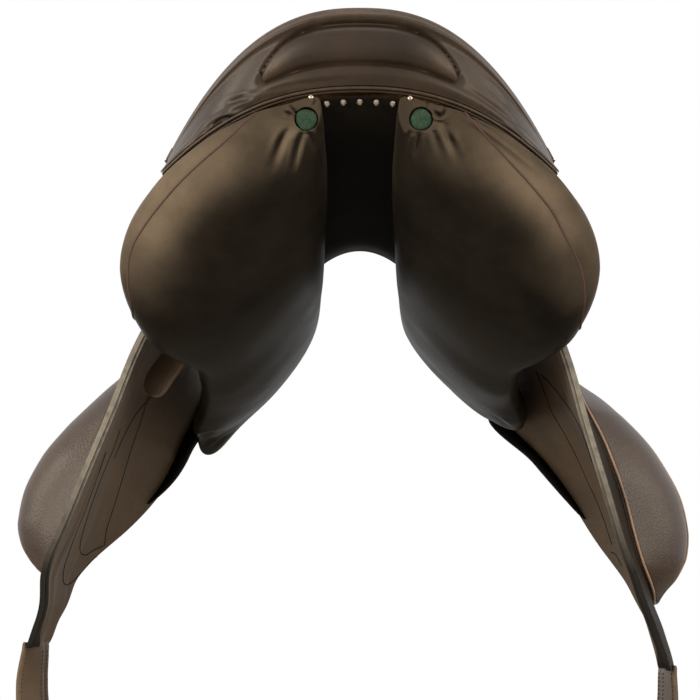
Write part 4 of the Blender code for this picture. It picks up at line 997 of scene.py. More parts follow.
def crescent_outline():
    """Return the crescent's outline on the flat facing."""
    shares = sine_spread(61) * INLAY_REACH
    high = [facing_flat(s, inlay_band(s)[0]) for s in shares]
    low = [facing_flat(s, inlay_band(s)[1]) for s in reversed(shares)]
    return np.array(high + low)


def dress_facing():
    """Make the cantle's facing, rolled over the rim, with the groove round its crescent."""
    ss = sine_spread(181) * 0.992
    vs = np.linspace(FACING_TOP, 1.0, 44)
    places = np.array([facing_flat(s, v) for s in ss for v in vs])
    far = outline_distance(places, crescent_outline()).reshape(len(ss), len(vs))
    rows = []
    for i, s in enumerate(ss):
        slim = 1 - 0.55 * ease((abs(s) - 0.80) / 0.20)
        start, normal = seat_top(0.968, s)
        crest, crest_normal = seat_top(0.980, s)
        over = [start + normal * 0.0001, crest + crest_normal * 0.0018 * slim,
                rim_point(s) + np.array((0.0, 0.0006, 0.0002))]
        over += [facing_point(s, v) + BACKWARD * d * slim for v, d in ROLL]
        row = list(smooth_line(over, 3))
        for j, v in enumerate(vs):
            d = 0.0006 + 0.0010 * math.exp(-((v - FACING_TOP) / 0.03) ** 2)
            d += 0.0018 * math.sin(math.pi * min(max((v - 0.74) / 0.26, 0.0), 1.0)) ** 1.5
            d -= GROOVE_DEPTH * math.exp(-(far[i, j] / GROOVE_WIDTH) ** 2)
            row.append(facing_point(s, v) + BACKWARD * d)
        rows.append(row)
    outer = np.array(rows)
    inner = outer + np.array((0.0, FACING_BACK, -0.0004))
    worn = np.tile([0.45 * math.exp(-((k - 8) / 7) ** 2) + 0.10 for k in range(outer.shape[1])],
                   (len(ss), 1))
    facing = make("cantle_facing_leather", sheet(outer, inner), "tree", SEAT_HIDE,
                  ("cantle_facing",), worn=twice(worn))
    press(facing, FACING_CREASES)


def dress_crescent():
    """Make the padded crescent that is laid into the facing, rubbed towards its tips."""
    rows, base, rubbed = [], [], []
    for s in sine_spread(121) * INLAY_REACH * 0.992:
        high, low = inlay_band(s)
        row, back, rub = [], [], []
        for u in sine_shares(25):
            v = high + (low - high) * (0.02 + 0.96 * u)
            edge_far = min(u, 1 - u) * (low - high) * FACE_HEIGHT
            tip_far = (INLAY_REACH - abs(s)) * CANTLE_HALF
            rise = (1 - math.exp(-edge_far / 0.0030)) * (1 - math.exp(-tip_far / 0.0045))
            row.append(facing_point(s, v) + BACKWARD * (INLAY_RISE * rise - 0.0022))
            back.append(facing_point(s, v) - BACKWARD * GROOVE_DEPTH)
            rub.append(0.5 * (1 - ease(tip_far / 0.030)) * rise)
        rows.append(row)
        base.append(back)
        rubbed.append(rub)
    make("crescent_inlay", sheet(rows, base), "tree", SEAT_HIDE, ("cantle_crescent_pad",),
         worn=rubbed + rubbed)


def side_edge(k, side):
    """Return the upper and the lower edge of the side facing; k is 0 at the rear, 1 in front."""
    upper = np.array(seat_point(0.985 - 0.40 * k, 1.0)) + np.array((-0.0012, 0.0, -0.0014))
    ring = panel_ring(-0.172 + 0.190 * k)
    low = np.array(ring[int(5.30 * RING_PARTS)]) + np.array((0.0005, 0.0, 0.0006))
    start = np.array(welt_point(0.99)) + np.array((0.0, 0.0, -0.0010))
    lower = start + (low - start) * ease(k / 0.10)
    lower[2] += 0.004 * (1 - ease(k / 0.10))
    return upper * (side, 1, 1), lower * (side, 1, 1)


def dress_sides():
    """Close the seat's sides behind the flaps with a facing from its edge to the panel's top."""
    for side, word in SIDES:
        rows = []
        for k in np.linspace(0.05, 1, 70):
            upper, lower = side_edge(k, side)
            row = []
            for v in np.linspace(0, 1, 15):
                point = upper + (lower - upper) * v
                point[0] += (0.0034 * ease(k / 0.3) - 0.0012) * side * math.sin(math.pi * v)
                row.append(point)
            rows.append(row)
        outer = np.array(rows)
        inner = outer - np.array((0.0020 * side, 0.0, 0.0))
        make("side_facing_" + word, sheet(outer, inner), "tree", SEAT_HIDE, (),
             worn=np.full(outer.size // 3 * 2, 0.1))


# The welt's cord and the lip behind it: how far each lies below the facing's edge and behind it,
# its radius, how rubbed it is and what it replaces
WELT_LINES = (("cantle_welt_cord", 0.0020, -0.0004, 0.0013, 0.42, ("cantle_welt",)),
              ("cantle_welt_lip", 0.0044, 0.0012, 0.0011, 0.1, ()))


def dress_welt():
    """Lay the welt along the whole lower edge of the cantle and the side facings."""
    middle = np.array([welt_point(s) for s in np.linspace(-0.985, 0.985, 121)])
    slope = np.gradient(middle, axis=0)
    size = np.hypot(slope[:, 0], slope[:, 2])
    down = np.stack([slope[:, 2] / size, np.zeros(len(middle)), -slope[:, 0] / size], 1)
    for name, drop, back, radius, rubbed, nodes in WELT_LINES:
        ends = {side: [side_edge(k, side)[1] + np.array((0.0008 * side, 0.0, -drop * 0.5))
                       for k in np.linspace(0.06, 1.0, 40)] for side, _ in SIDES}
        path = list(middle + down * drop + np.array((0.0, back, 0.0)))
        line = smooth_line(even_line(list(reversed(ends[-1])) + path + ends[1], 0.005), 3)
        shape = lofted(cord_rings(line, radius, 10))
        make(name, shape, "tree", SEAT_HIDE, nodes,
             worn=np.full(len(shape[0]), rubbed))


# Panels and channel

# Folds round the plugs, in the picture: points, width and depth
PLUG_CREASES = {
    -1: [([(290, 104), (294, 110), (299, 115)], 1.6, 0.0026),
         ([(285, 112), (292, 116)], 1.8, 0.0016),
         ([(303, 132), (299, 144), (296, 156), (295, 168)], 2.6, 0.0030),
         ([(308, 132), (313, 140), (316, 150)], 2.0, 0.0026),
         ([(288, 128), (280, 146), (275, 160)], 3.4, 0.0020),
         ([(314, 106), (316, 100)], 1.6, 0.0012)],
    1: [([(426, 108), (428, 101)], 1.8, 0.0020),
        ([(434, 112), (440, 116), (444, 112), (446, 106)], 2.0, 0.0034),
        ([(419, 134), (417, 146), (414, 158)], 1.8, 0.0034),
        ([(410, 132), (406, 140)], 1.6, 0.0018),
        ([(446, 122), (448, 136), (454, 150)], 3.2, 0.0022),
        ([(434, 130), (436, 146)], 3.0, 0.0014),
        ([(464, 111), (480, 120), (500, 133), (520, 149), (538, 164)], 3.0, 0.0030)],
}
# Folds at the panels' front corners, in the same way
KNOB_CREASES = {
    -1: [([(196, 438), (208, 434), (222, 432)], 1.6, 0.0022),
         ([(204, 446), (210, 440), (216, 438)], 1.4, 0.0018),
         ([(198, 430), (204, 424), (206, 414)], 2.2, 0.0012),
         ([(214, 446), (224, 438), (232, 434)], 1.4, 0.0014)],
    1: [([(486, 412), (500, 420), (512, 430)], 1.6, 0.0020),
        ([(506, 432), (516, 437), (524, 440)], 1.5, 0.0018),
        ([(478, 400), (492, 404), (506, 410)], 2.4, 0.0010)],
}
# Gusset seams, in the picture
SEAMS = {
    -1: [(276, 100), (262, 108), (245, 122), (223, 143), (201, 162), (179, 183), (156, 210),
         (143, 228), (134, 243), (129, 258), (128, 272), (128, 288), (131, 302)],
    1: [(450, 101), (464, 112), (484, 134), (506, 158), (529, 183), (551, 210), (564, 234),
        (574, 252), (580, 266), (584, 282), (585, 298), (583, 314)],
}
SEAM_FRONT = 0.235      # how far forward the gusset seams run
KNOB_DROP = {-1: 0.011, 1: -0.006}    # how far the leather sags at the panel's front corner
FRONT_LIFT = {-1: 0.0, 1: 0.0090}     # how much higher the panel's lower side runs in front
PLUG_AT = {-1: PLUG_X - 0.0028, 1: PLUG_X + 0.0031}
MOUTH = PLUG_RADIUS * 1.07            # radius of the hole that the plug fills
REAR_BULGE = 0.0016     # from the panel's rear section back to the hole's edge
FRONT_BULGE = 0.005     # how far the panel's front end is rounded out
# Steps of the hole's inside: its radius as a share of the mouth, and its depth
HOLE_STEPS = ((0.97, 0.0030), (0.98, 0.0062), (0.5, 0.0066))


def drawn_in(first, back, side):
    """Return the rings that draw a panel in round its plug's hole, from its rear ring on.

    back points back along the panel at each point of that ring.
    """
    count = len(first)
    hub = np.array((PLUG_AT[side], PLUG_Z))
    way = first[:, (0, 2)] - hub
    way /= np.linalg.norm(way, axis=1)[:, None]
    mouth = MOUTH + 0.0006
    hole = np.stack([hub[0] + way[:, 0] * mouth, np.full(count, PANEL_REAR - REAR_BULGE),
                     hub[1] + way[:, 1] * mouth], 1)
    inward = np.stack([-way[:, 0], np.zeros(count), -way[:, 1]], 1)
    span = np.linalg.norm(hole - first, axis=1, keepdims=True)
    rings = []
    for t in np.linspace(0, 1, 19)[1:]:
        rings.append((1 - 3 * t ** 2 + 2 * t ** 3) * first + (3 * t ** 2 - 2 * t ** 3) * hole
                     + (t - 2 * t ** 2 + t ** 3) * span * back * 0.75
                     + (t ** 3 - t ** 2) * span * inward * 0.8)
    for share, depth in HOLE_STEPS:
        flat = hub + way * (mouth * share)
        rings.append(np.stack([flat[:, 0], np.full(count, PANEL_REAR + depth), flat[:, 1]], 1))
    return rings


def settled(ring, y, side):
    """Return a panel's section as it lies towards the front: sagging, or drawn up."""
    ring = ring.copy()
    low = np.clip((-0.100 - ring[:, 2]) / 0.045, 0, 1)
    outer = np.exp(-((ring[:, 0] - 0.138) / 0.022) ** 2)
    ring[:, 2] -= KNOB_DROP[side] * low * outer * ease((y - 0.165) / 0.050)
    under = np.clip((-0.050 - ring[:, 2]) / 0.060, 0, 1)
    ring[:, 2] += FRONT_LIFT[side] * under * ease((y + 0.02) / 0.14)
    return ring


def panel_shape(side):
    """Return points and faces of a flocked panel, drawn in round its plug's hole at the rear."""
    stations = PANEL_REAR + (PANEL_FRONT - PANEL_REAR) * np.linspace(0, 1, 150) ** 1.15
    sections = [np.array(panel_ring(y)) for y in stations]
    back = sections[0] - sections[2]
    back /= np.linalg.norm(back, axis=1, keepdims=True)
    rings = list(reversed(drawn_in(sections[0], back, side)))
    rings += [settled(ring, y, side) for ring, y in zip(sections, stations)]
    last = rings[-1]
    middle = last.mean(0)
    for a in np.linspace(0.25, 1.0, 5) * math.pi / 2 * 0.92:
        ring = middle + (last - middle) * math.cos(a)
        ring[:, 1] = last[:, 1] + FRONT_BULGE * math.sin(a)
        rings.append(ring)
    return lofted([on_side(ring, side) for ring in rings])


# Where the panels get a painted sheen, the lamps' highlight: centre, length and width in the
# picture, turn, strength
SHEEN_SPOTS = {
    -1: [(182, 192, 62, 30, 48, 0.85), (160, 230, 40, 22, 60, 0.35), (287, 150, 26, 16, 80, 0.50),
         (245, 150, 40, 24, 30, 0.30)],
    1: [(528, 192, 60, 24, -48, 0.75), (556, 222, 40, 18, -60, 0.35), (446, 150, 34, 14, -70, 0.35),
        (500, 165, 40, 22, -45, 0.25)],
}
SHEEN_BASE = 0.30       # how much painted sheen the rest of the same region has


def painted_sheen(panel, side):
    """Note where the panel gets a painted sheen, the lamps' highlight: most where it faces up and
    out, high up at the rear.
    """
    places, normals = read_points(panel.data)
    out, up = normals[:, 0] * side, normals[:, 2]
    # Painted highlight: strongest where the normal turns up and out, towards the lamps
    toward_lamps = ease_all((up + 0.30 * out + 0.60) / 0.66)
    rear = 1 - ease_all((places[:, 1] + 0.12) / 0.20)
    seen = to_picture(places)
    sheen_spots = SHEEN_BASE
    for x, y, long, wide, turn, much in SHEEN_SPOTS[side]:
        turn = math.radians(turn)
        along = (seen[:, 0] - x) * math.cos(turn) - (seen[:, 1] - y) * math.sin(turn)
        aside = (seen[:, 0] - x) * math.sin(turn) + (seen[:, 1] - y) * math.cos(turn)
        sheen_spots = sheen_spots + much * np.exp(-(along / long) ** 2 - (aside / wide) ** 2)
    layer = panel.data.attributes.new("painted_sheen", "FLOAT", "POINT")
    layer.data.foreach_set("value", toward_lamps * rear * sheen_spots)


def gusset_line(panel, side):
    """Return a gusset's seam: through the picture's points, then on along the panel."""
    seam = met(panel, SEAMS[side], lift=-0.0003)
    end = np.array(seam[-1])
    ring = on_side(panel_ring(end[1]), side)
    at = int(np.argmin(np.linalg.norm(ring - end, axis=1)))
    behind = []
    for y in np.linspace(end[1], SEAM_FRONT, 70)[1:]:
        ring = on_side(panel_ring(y), side)
        near = at + (4.6 * RING_PARTS - at) * ease((y - end[1]) / 0.12)
        low = int(near)
        share = near - low
        behind.append(ring[low] * (1 - share) + ring[low + 1] * share)
    return smooth_line(even_line(np.array(seam + behind), 0.004), 3)


def dress_panels():
    """Make the flocked panels with their creases, gusset seams and plugs."""
    for side, word in SIDES:
        panel = make("flocked_panel_" + word, panel_shape(side), "tree", CALF, ("panel_" + word,))
        press(panel, PLUG_CREASES[side], furthest=-0.15)
        # Paint the lamps' sheen into the panel's colour
        painted_sheen(panel, side)
        press(panel, KNOB_CREASES[side], nearest=0.12)
        line = gusset_line(panel, side)
        make("gusset_seam_" + word, lofted(cord_rings(line, 0.0010, 6)), "tree", THREAD, ())
        middle = np.array((0.15 * side, 0.0, -0.04))
        sewn = [point + 0.0005 * (point - middle) / np.linalg.norm(point - middle)
                for point in line]
        sew("gusset_seam_stitches_" + word, [sewn], "tree", THREAD, pitch=0.0026, length=0.0019,
            thickness=0.0012)
        dress_plug(side, word)


# A plug from its foot to its crown: radius as a share of the mouth, and how far forward
PLUG_FORM = ((0.92, 0.0060), (1.0, 0.0040), (1.0, 0.0008), (0.95, -0.0010), (0.84, -0.0022),
             (0.66, -0.0030), (0.45, -0.0034), (0.22, -0.0036))


def dress_plug(side, word):
    """Make the felt plug: a crowned, slightly crumpled disc in the flocking hole."""
    rng = np.random.default_rng(5 + side)
    phase = rng.uniform(0, 2 * math.pi, 4)
    rings = []
    for radius, y in PLUG_FORM:
        ring = []
        for k in range(40):
            a = 2 * math.pi * k / 40
            dent = 0.0005 * (math.sin(2 * a + phase[0]) + math.sin(3 * a + phase[1]))
            dent += 0.0003 * math.sin(7 * a + phase[2])
            r = MOUTH * radius * (1 + 0.04 * math.sin(3 * a + phase[3]))
            ring.append((PLUG_AT[side] * side + r * math.cos(a),
                         PANEL_REAR + 0.0012 + y + dent * (1 - radius * 0.4),
                         PLUG_Z + r * math.sin(a)))
        rings.append(ring)
    make("felt_plug_" + word, lofted(rings), "tree", FELT, ("flock_plug_" + word,))


def dress_channel():
    """Make the black leather that lines the channel, greyer where its rear edge is rubbed."""
    tucked = 0.0012     # how far the lining reaches into the panels' seams
    stations = np.linspace(PANEL_REAR - 0.0005, CHANNEL_END, 90)
    us = np.linspace(-1, 1, 33)
    lower = np.array([[((channel_x(y) + tucked) * u, y, roof(u, y) - 0.0002) for u in us]
                      for y in stations])
    upper = lower + np.array((0.0, 0.0, CHANNEL_COVER - 0.0002))
    worn = np.tile([[0.5 * (1 - ease((y - PANEL_REAR) / 0.05))] for y in stations], (1, len(us)))
    make("channel_lining", sheet(upper, lower), "tree", BLACK, ("channel_cover",),
         bevel=0.0006, worn=twice(worn))


# Keeper tabs and corner nails

# Middle line of each keeper tab, on the right side
KEEPER_ROUTE = {
    -1: [(0.1330, -0.037, -0.066), (0.1430, -0.040, -0.084), (0.1535, -0.044, -0.102),
         (0.1640, -0.047, -0.118), (0.1700, -0.048, -0.132)],
    1: [(0.1310, -0.037, -0.064), (0.1360, -0.039, -0.074), (0.1400, -0.040, -0.083),
        (0.1430, -0.041, -0.091), (0.1450, -0.042, -0.098)],
}
KEEPER_FACING = (0.35, -0.90, 0.25)   # which way its face looks
KEEPER_HALF = 0.0118    # half of its width
KEEPER_SEAM = 0.0022    # from its edge to its stitches


def dress_tabs():
    """Make the rounded, stitched keeper tabs, the left one longer, as photographed."""
    normal = np.array(KEEPER_FACING)
    normal /= np.linalg.norm(normal)
    us = sine_spread(15)
    for side, word in SIDES:
        path = smooth_line(KEEPER_ROUTE[side], 12)
        along = np.gradient(path, axis=0)
        along /= np.linalg.norm(along, axis=1, keepdims=True)
        across = np.cross(along, normal)
        across /= np.linalg.norm(across, axis=1, keepdims=True)
        run = np.linspace(0, 1, len(path))
        half = KEEPER_HALF * np.sqrt(np.clip(1 - ((run - 0.70) / 0.30).clip(0) ** 2.4, 0.02, 1))
        grid = np.array([[path[k] + across[k] * half[k] * u + normal * 0.0010 * (1 - u * u)
                          for u in us] for k in range(len(path))])
        front = on_side(grid + normal * KEEPER_THICK / 2, side)
        back = on_side(grid - normal * KEEPER_THICK / 2, side)
        worn = np.tile([0.3 * abs(u) ** 8 for u in us], (len(path), 1))
        make("keeper_leather_" + word, sheet(front, back), "tree", SWEAT,
             ("keeper_tab_" + word,), rim=GRAIN, bevel=0.0006, worn=twice(worn))
        inset = (half - KEEPER_SEAM).clip(0.001) / half
        rows = range(len(path) - 2)
        rim = [front[k][7] + (front[k][-1] - front[k][7]) * inset[k] + normal * 0.0002
               for k in rows]
        other = [front[k][7] + (front[k][0] - front[k][7]) * inset[k] for k in rows]
        sew("keeper_stitches_" + word, [rim + list(reversed(other))], "tree", pitch=0.0030,
            length=0.0021, thickness=0.0007)


CORNER_NAILS = {-1: (311, 97.5), 1: (410, 98.5)}      # in the picture


def dress_corner_nails():
    """Drive one domed nail into each panel's upper corner, in line with the channel's nails."""
    for side, word in SIDES:
        x, y = CORNER_NAILS[side]
        place = met(bpy.data.objects["flocked_panel_" + word], [(x, y), (x + 0.5, y)], step=0.5)[0]
        rings = []
        for k in range(7):
            a = math.pi / 2 * k / 6
            r, d = NAIL_RADIUS * 0.75 * math.cos(a * 0.98), NAIL_RADIUS * 0.5 * math.sin(a)
            rings.append([place + np.array((r * math.cos(b), -d - 0.0001, r * math.sin(b)))
                          for b in np.arange(16) * math.pi / 8])
        make("corner_nail_" + word, lofted(rings), "tree", NICKEL, ())


# Flaps

# Seam lines on the sweat sides, in the picture
LINING_LINES = {
    -1: [[(150, 392), (141, 420), (131, 450), (122, 480), (114, 506), (107, 528), (105, 540),
          (104, 546)],
         [(104, 554), (96, 557), (88, 565), (80, 574), (72, 582), (66, 585), (63, 580), (64, 568),
          (68, 555), (76, 533), (86, 508), (97, 478), (106, 452)],
         [(103, 546), (94, 550), (86, 555), (81, 553), (80, 545), (84, 528), (92, 503), (102, 476),
          (112, 452), (120, 430)],
         [(162, 378), (150, 398), (136, 414), (124, 436), (114, 458)]],
    1: [[(536, 371), (543, 388), (551, 410), (560, 426), (569, 442), (578, 460), (587, 480),
         (596, 500), (604, 520), (612, 545)],
        [(541, 374), (552, 386), (563, 400), (573, 414), (581, 430), (587, 446), (592, 462)],
        [(611, 552), (616, 555), (622, 566)]],
}
FLAP_ROWS, FLAP_COLUMNS = 90, 56
LINING_TOP = LINE_Z - 0.036
FLAP_SEAM = 0.0055      # from the flap's edge to its stitches


def lifted(y, z):
    """Return the height of a flap's point that z gives, raised along the skirt line's slope."""
    return z + LINE_Z_SLOPE * y * near_line(z)


def flap_sheet(side, top, margin, depth, swell=None):
    """Return a fine grid on the flap, a margin inside its edge and a depth under its face."""
    bottom = FLAP_BOTTOM + margin
    top = min(LINE_Z - GAP, top)
    grid = []
    for k in range(FLAP_ROWS):
        z = top + (bottom - top) * math.sin(math.pi / 2 * k / (FLAP_ROWS - 1)) ** 1.1
        rear, front = FLAP_REAR(z) + margin, FLAP_FRONT(z) - margin
        row = []
        for u in sine_shares(FLAP_COLUMNS):
            y = rear + (front - rear) * u
            height = lifted(y, z)
            more = swell(y, height) if swell else 0.0
            row.append((flap_x(y, height, side) - depth - more, y, height))
        grid.append(row)
    return on_side(grid, side)


def edge_wear(grid):
    """Return how rubbed each point of a grid is: most at its edges."""
    rows, columns = grid.shape[:2]
    u = np.abs(np.linspace(-1, 1, columns))[None, :] ** 14
    v = np.abs(np.linspace(0, 1, rows))[:, None] ** 20
    return 0.9 * np.maximum(u, v)


def edge_line(side, inset, lift, stations, first, last):
    """Return a line on the flap's outer face, an inset from its rear, lower and front edge."""
    low = FLAP_BOTTOM + inset
    line = [(FLAP_REAR(z) + inset, z) for z in np.linspace(first, low, stations)]
    line += [(FLAP_FRONT(z) - inset, z) for z in np.linspace(low, last, stations)]
    return [((flap_x(y, lifted(y, z), side) + lift) * side, y, lifted(y, z)) for y, z in line]


def joined(shapes):
    """Return the points and faces of several shapes as one."""
    points, faces = [], []
    for shape in shapes:
        first = len(points)
        points += list(shape[0])
        faces += [tuple(first + k for k in face) for face in shape[1]]
    return points, faces


def dress_flap(side, word):
    """Make one flap: its grain side, its sweat side, block, pad, web, skirt and billets."""
    body, place = "flap_" + word, hung(side)
    outer = flap_sheet(side, LINE_Z, 0.0, 0.0)
    inner = flap_sheet(side, LINE_Z, 0.0, FLAP_THICK)
    make("flap_leather_" + word, sheet(outer, inner), body, FLAP_HIDE, ("flap_" + word,),
         rim=EDGE, bevel=0.0010, place=place, worn=twice(edge_wear(outer)))
    # The lining closes on the flap's edge, so that both edges are inked as one
    depth = FLAP_THICK + 0.0002
    upper = flap_sheet(side, LINING_TOP, LINING_MARGIN * 0.35, depth)
    lower = flap_sheet(side, LINING_TOP, LINING_MARGIN * 0.35, depth + LINING_THICK,
                       lambda y, z: web_room(y, z) * 0.8)
    lining = make("sweat_side_" + word, sheet(upper, lower), body, SWEAT,
                  ("flap_lining_" + word,), rim=EDGE, bevel=0.0009, place=place,
                  worn=twice(0.5 * edge_wear(lower) + 0.12))
    drawn = [met(lining, line, lift=-0.0001) for line in LINING_LINES[side]]
    seams = joined([lofted(cord_rings(even_line(line, 0.003), 0.00055, 6)) for line in drawn
                    if len(line) > 3])
    make("sweat_side_seams_" + word, seams, body, BLACK, ())
    rows = [moved(edge_line(side, FLAP_SEAM, 0.0001, 60, -0.070, -0.030), place)]
    sew("flap_edge_stitches_" + word, rows, body)
    dress_block(side, word, body, place)
    dress_pad(side, word, body, place)
    dress_web(side, word, body, place)
    dress_skirt(side, word, place)
    dress_billets(side, word, place)


BLOCK_ROWS, BLOCK_COLUMNS = 70, 44
BLOCK_PIPING = {-1: 0.0010, 1: 0.0013}    # radius of the piping at its foot
CREST_PIPING = 0.0007


def block_grid(side):
    """Return the knee block's outer grid and its base grid."""
    outer, base = [], []
    high, low = BLOCK_ENDS[side]
    for z in high + (low - high) * sine_shares(BLOCK_ROWS):
        row, back = [], []
        rear, front = block_rear(z, side), BLOCK_FRONT(z)
        close = min(ease((z - low) / 0.012) + 0.15, 1.0)
        middle = (rear + front) / 2
        rear, front = middle + (rear - middle) * close, middle + (front - middle) * close
        full = BLOCK_HEIGHT * BLOCK_RIDGE[side](z)
        for u in sine_shares(BLOCK_COLUMNS):
            y = rear + (front - rear) * u
            height = max(BLOCK_EDGE + (full - BLOCK_EDGE) * block_profile(u), BLOCK_EDGE)
            bulge = 0.10 * full * math.sin(math.pi * min(u / BLOCK_CREST, 1.0))
            row.append((flap_x(y, z, side) + BLOCK_SEAT + height, y - bulge, z))
            back.append((flap_x(y, z, side) + 0.0004, y, z))
        outer.append(row)
        base.append(back)
    return on_side(outer, side), on_side(base, side)


def dress_block(side, word, body, place):
    """Make the knee block with its piped seams; only the right one is piped along its crest."""
    outer, base = block_grid(side)
    us = sine_shares(BLOCK_COLUMNS)
    crest = np.exp(-((us - BLOCK_CREST) / 0.06) ** 2)
    worn = np.tile(0.35 * crest + 0.10, (BLOCK_ROWS, 1))
    make("knee_block_leather_" + word, sheet(outer, base), body, GRAIN, ("knee_block_" + word,),
         place=place, worn=twice(worn))
    out = np.array((0.0, 0.0006, 0.0))
    lines = [("rear", outer[:, 0] * 0.5 + base[:, 0] * 0.5 - out, BLOCK_PIPING[side]),
             ("front", outer[:, -1] * 0.5 + base[:, -1] * 0.5 + out, BLOCK_PIPING[side])]
    if side > 0:
        column = int(np.argmin(np.abs(us - BLOCK_CREST)))
        lines.append(("crest", outer[3:-4, column] + np.array((0.0004, -0.0005, 0.0)),
                      CREST_PIPING))
    for name, line, radius in lines:
        shape = lofted(cord_rings(even_line(line, 0.003), radius, 8))
        make("knee_block_%s_piping_%s" % (name, word), shape, body, PIPING, (),
             place=place)


PAD_TOP, PAD_LENGTH = -0.104, 0.108
PAD_HALF, PAD_SLIMMER = 0.0112, 0.0050   # half of its thickness, and how much less low down
PAD_DEEP = 0.0105       # half of its width along Y


def dress_pad(side, word, body, place):
    """Make the soft dark roll at the flap's front edge, up behind the panel's front end; its black
    is partly painted shade.
    """
    rings = []
    for t in sine_shares(48):
        z = PAD_TOP - PAD_LENGTH * t
        swell = math.sin(math.pi * (0.02 + 0.96 * t)) ** 0.55
        half = (PAD_HALF - PAD_SLIMMER * ease((t - 0.20) / 0.35)) * swell
        deep = PAD_DEEP * swell
        y = FLAP_FRONT(z) - 0.010
        x = flap_x(y, z, side) - FLAP_THICK - LINING_THICK + 0.0008 - half
        rings.append([((x + half * math.cos(a)) * side, y + deep * math.sin(a), z)
                      for a in np.arange(24) * math.pi / 12])
    make("front_pad_leather_" + word, lofted(rings), body, BLACK, ("front_pad_" + word,),
         place=place)


LINEN_THICK = 0.0012
LINEN_MARGIN = 0.006    # how far the web stays inside the flap's edge


def dress_web(side, word, body, place):
    """Make the linen web that holds the billets, between the flap and its lining."""
    front, back = [], []
    for z in np.linspace(WEB_TOP - 0.004, FLAP_BOTTOM + 0.0035, 60):
        half = BILLET_WEB_WIDTH / 2 * (1 - 0.12 * ease((-0.310 - z) / 0.030))
        rear, ahead = FLAP_REAR(z) + LINEN_MARGIN, FLAP_FRONT(z) - LINEN_MARGIN
        row, other = [], []
        for u in np.linspace(-1, 1, 13):
            y = min(max(BILLET_Y + half * u, rear), ahead)
            x = flap_x(y, z, side) - FLAP_THICK - GAP
            row.append((x, y, z))
            other.append((x - LINEN_THICK, y, z))
        front.append(row)
        back.append(other)
    make("billet_web_linen_" + word, sheet(on_side(front, side), on_side(back, side)), body,
         LINEN, ("billet_web_" + word,), place=place)


FACING_Y = 0.236        # where the pommel's facing meets the channel's roof


def dress_front():
    """Close the pommel's front with the leather facing over the tree's head."""
    outer = []
    for s in np.linspace(-1, 1, 49):
        high = np.array(seat_point(0.012, s)) + np.array((0.0, -0.0030, 0.0006))
        low = np.array((channel_x(FACING_Y) * s, FACING_Y + 0.0005, roof(s, FACING_Y) + 0.0005))
        row = []
        for v in np.linspace(0, 1, 13):
            point = high * (1 - v) + low * v
            point[1] += 0.0030 * math.sin(math.pi * v)
            row.append(point)
        outer.append(row)
    outer = np.array(outer)
    shape = sheet(outer, outer - np.array((0.0, 0.0018, 0.0)))
    make("pommel_facing", shape, "tree", SEAT_HIDE, (),
         worn=np.full(len(shape[0]), 0.1))


SKIRT_ROLL = 0.0030     # radius in which the skirt's upper edge turns in
SKIRT_SEAMS = (0.0045, 0.0075)           # from the skirt's edge to its two rows of stitches


def dress_skirt(side, word, place):
    """Make the skirt, turned in at its top towards the seat's edge, with its stitched edge."""
    ys = SKIRT_REAR + (SKIRT_FRONT - SKIRT_REAR) * sine_shares(70)
    vs = np.concatenate([np.linspace(-1, 0, 6)[:-1], (1 - np.cos(np.linspace(0, math.pi, 34))) / 2])
    outer = []
    for y in ys:
        top = line_z(y) - 0.001
        row = []
        for v in vs:
            z = top - (skirt_drop(y) - 0.001) * max(v, 0.0)
            x = flap_x(y, z, side) + SHEET_GAP + SKIRT_THICK
            if v < 0:
                turn = -v * math.pi / 2
                x -= SKIRT_ROLL * (1 - math.cos(turn))
                z += SKIRT_ROLL * math.sin(turn)
            row.append((x, y, z))
        outer.append(row)
    outer = np.array(outer)
    inner = outer - np.array((SKIRT_THICK, 0.0, 0.0))
    inner[:, vs < 0] = outer[:, vs < 0] - np.array((SKIRT_THICK * 0.7, 0.0, 0.0012))
    u = np.abs(np.linspace(-1, 1, len(ys)))[:, None] ** 12
    v = np.clip(vs, 0, 1)[None, :] ** 12
    make("skirt_leather_" + word, sheet(on_side(outer, side), on_side(inner, side)),
         "skirt_" + word, CALF, ("skirt_" + word,), rim=EDGE, bevel=0.0008,
         place=place, worn=twice(0.9 * np.maximum(u, v)))
    rows = []
    for inset in SKIRT_SEAMS:
        line = []
        for y in np.linspace(SKIRT_REAR + inset, SKIRT_FRONT - inset, 120):
            z = min(line_z(y) - skirt_drop(y) + inset * 1.15, line_z(y) - 0.006)
            line.append(((flap_x(y, z, side) + SHEET_GAP + SKIRT_THICK + 0.0001) * side, y, z))
        rows.append(moved(line, place))
    sew("skirt_stitches_" + word, rows, "skirt_" + word)


# A billet's section: shares of its half width and of its half thickness, and how rubbed
BILLET_SECTION = ((-1, -0.45, 0.35), (-0.93, -0.9, 0.3), (-0.55, -1, 0.12), (0, -1, 0.1),
                  (0.55, -1, 0.12), (0.93, -0.9, 0.3), (1, -0.45, 0.35), (1, 0.45, 0.35),
                  (0.93, 0.9, 0.3), (0.55, 1, 0.12), (0, 1, 0.1), (-0.55, 1, 0.12),
                  (-0.93, 0.9, 0.3), (-1, 0.45, 0.35))
BILLET_POINT = 0.020    # length of its pointed end
BILLET_SEAM = 0.0035    # from its edge to its stitches
BILLET_STEP = 0.0075    # how far its upper end reaches up into the flap
BILLET_APART = 0.001    # from the middle between both billets to each one's edge


def billet_line(path, side, twist, y):
    """Return a billet's centre line, with how far it is turned in degrees at each point."""
    points = [(path[0][0] * side, y, path[0][1] + BILLET_STEP)]
    turns = [twist * 0.6]
    for i, (x, z) in enumerate(path):
        points.append((x * side, y, z))
        turns.append(twist * (0.6 + 0.4 * ease(i / 2 + 0.25)))
    line = smooth_line(points, 6)
    return line, np.interp(np.linspace(0, 1, len(line)), np.linspace(0, 1, len(turns)), turns)


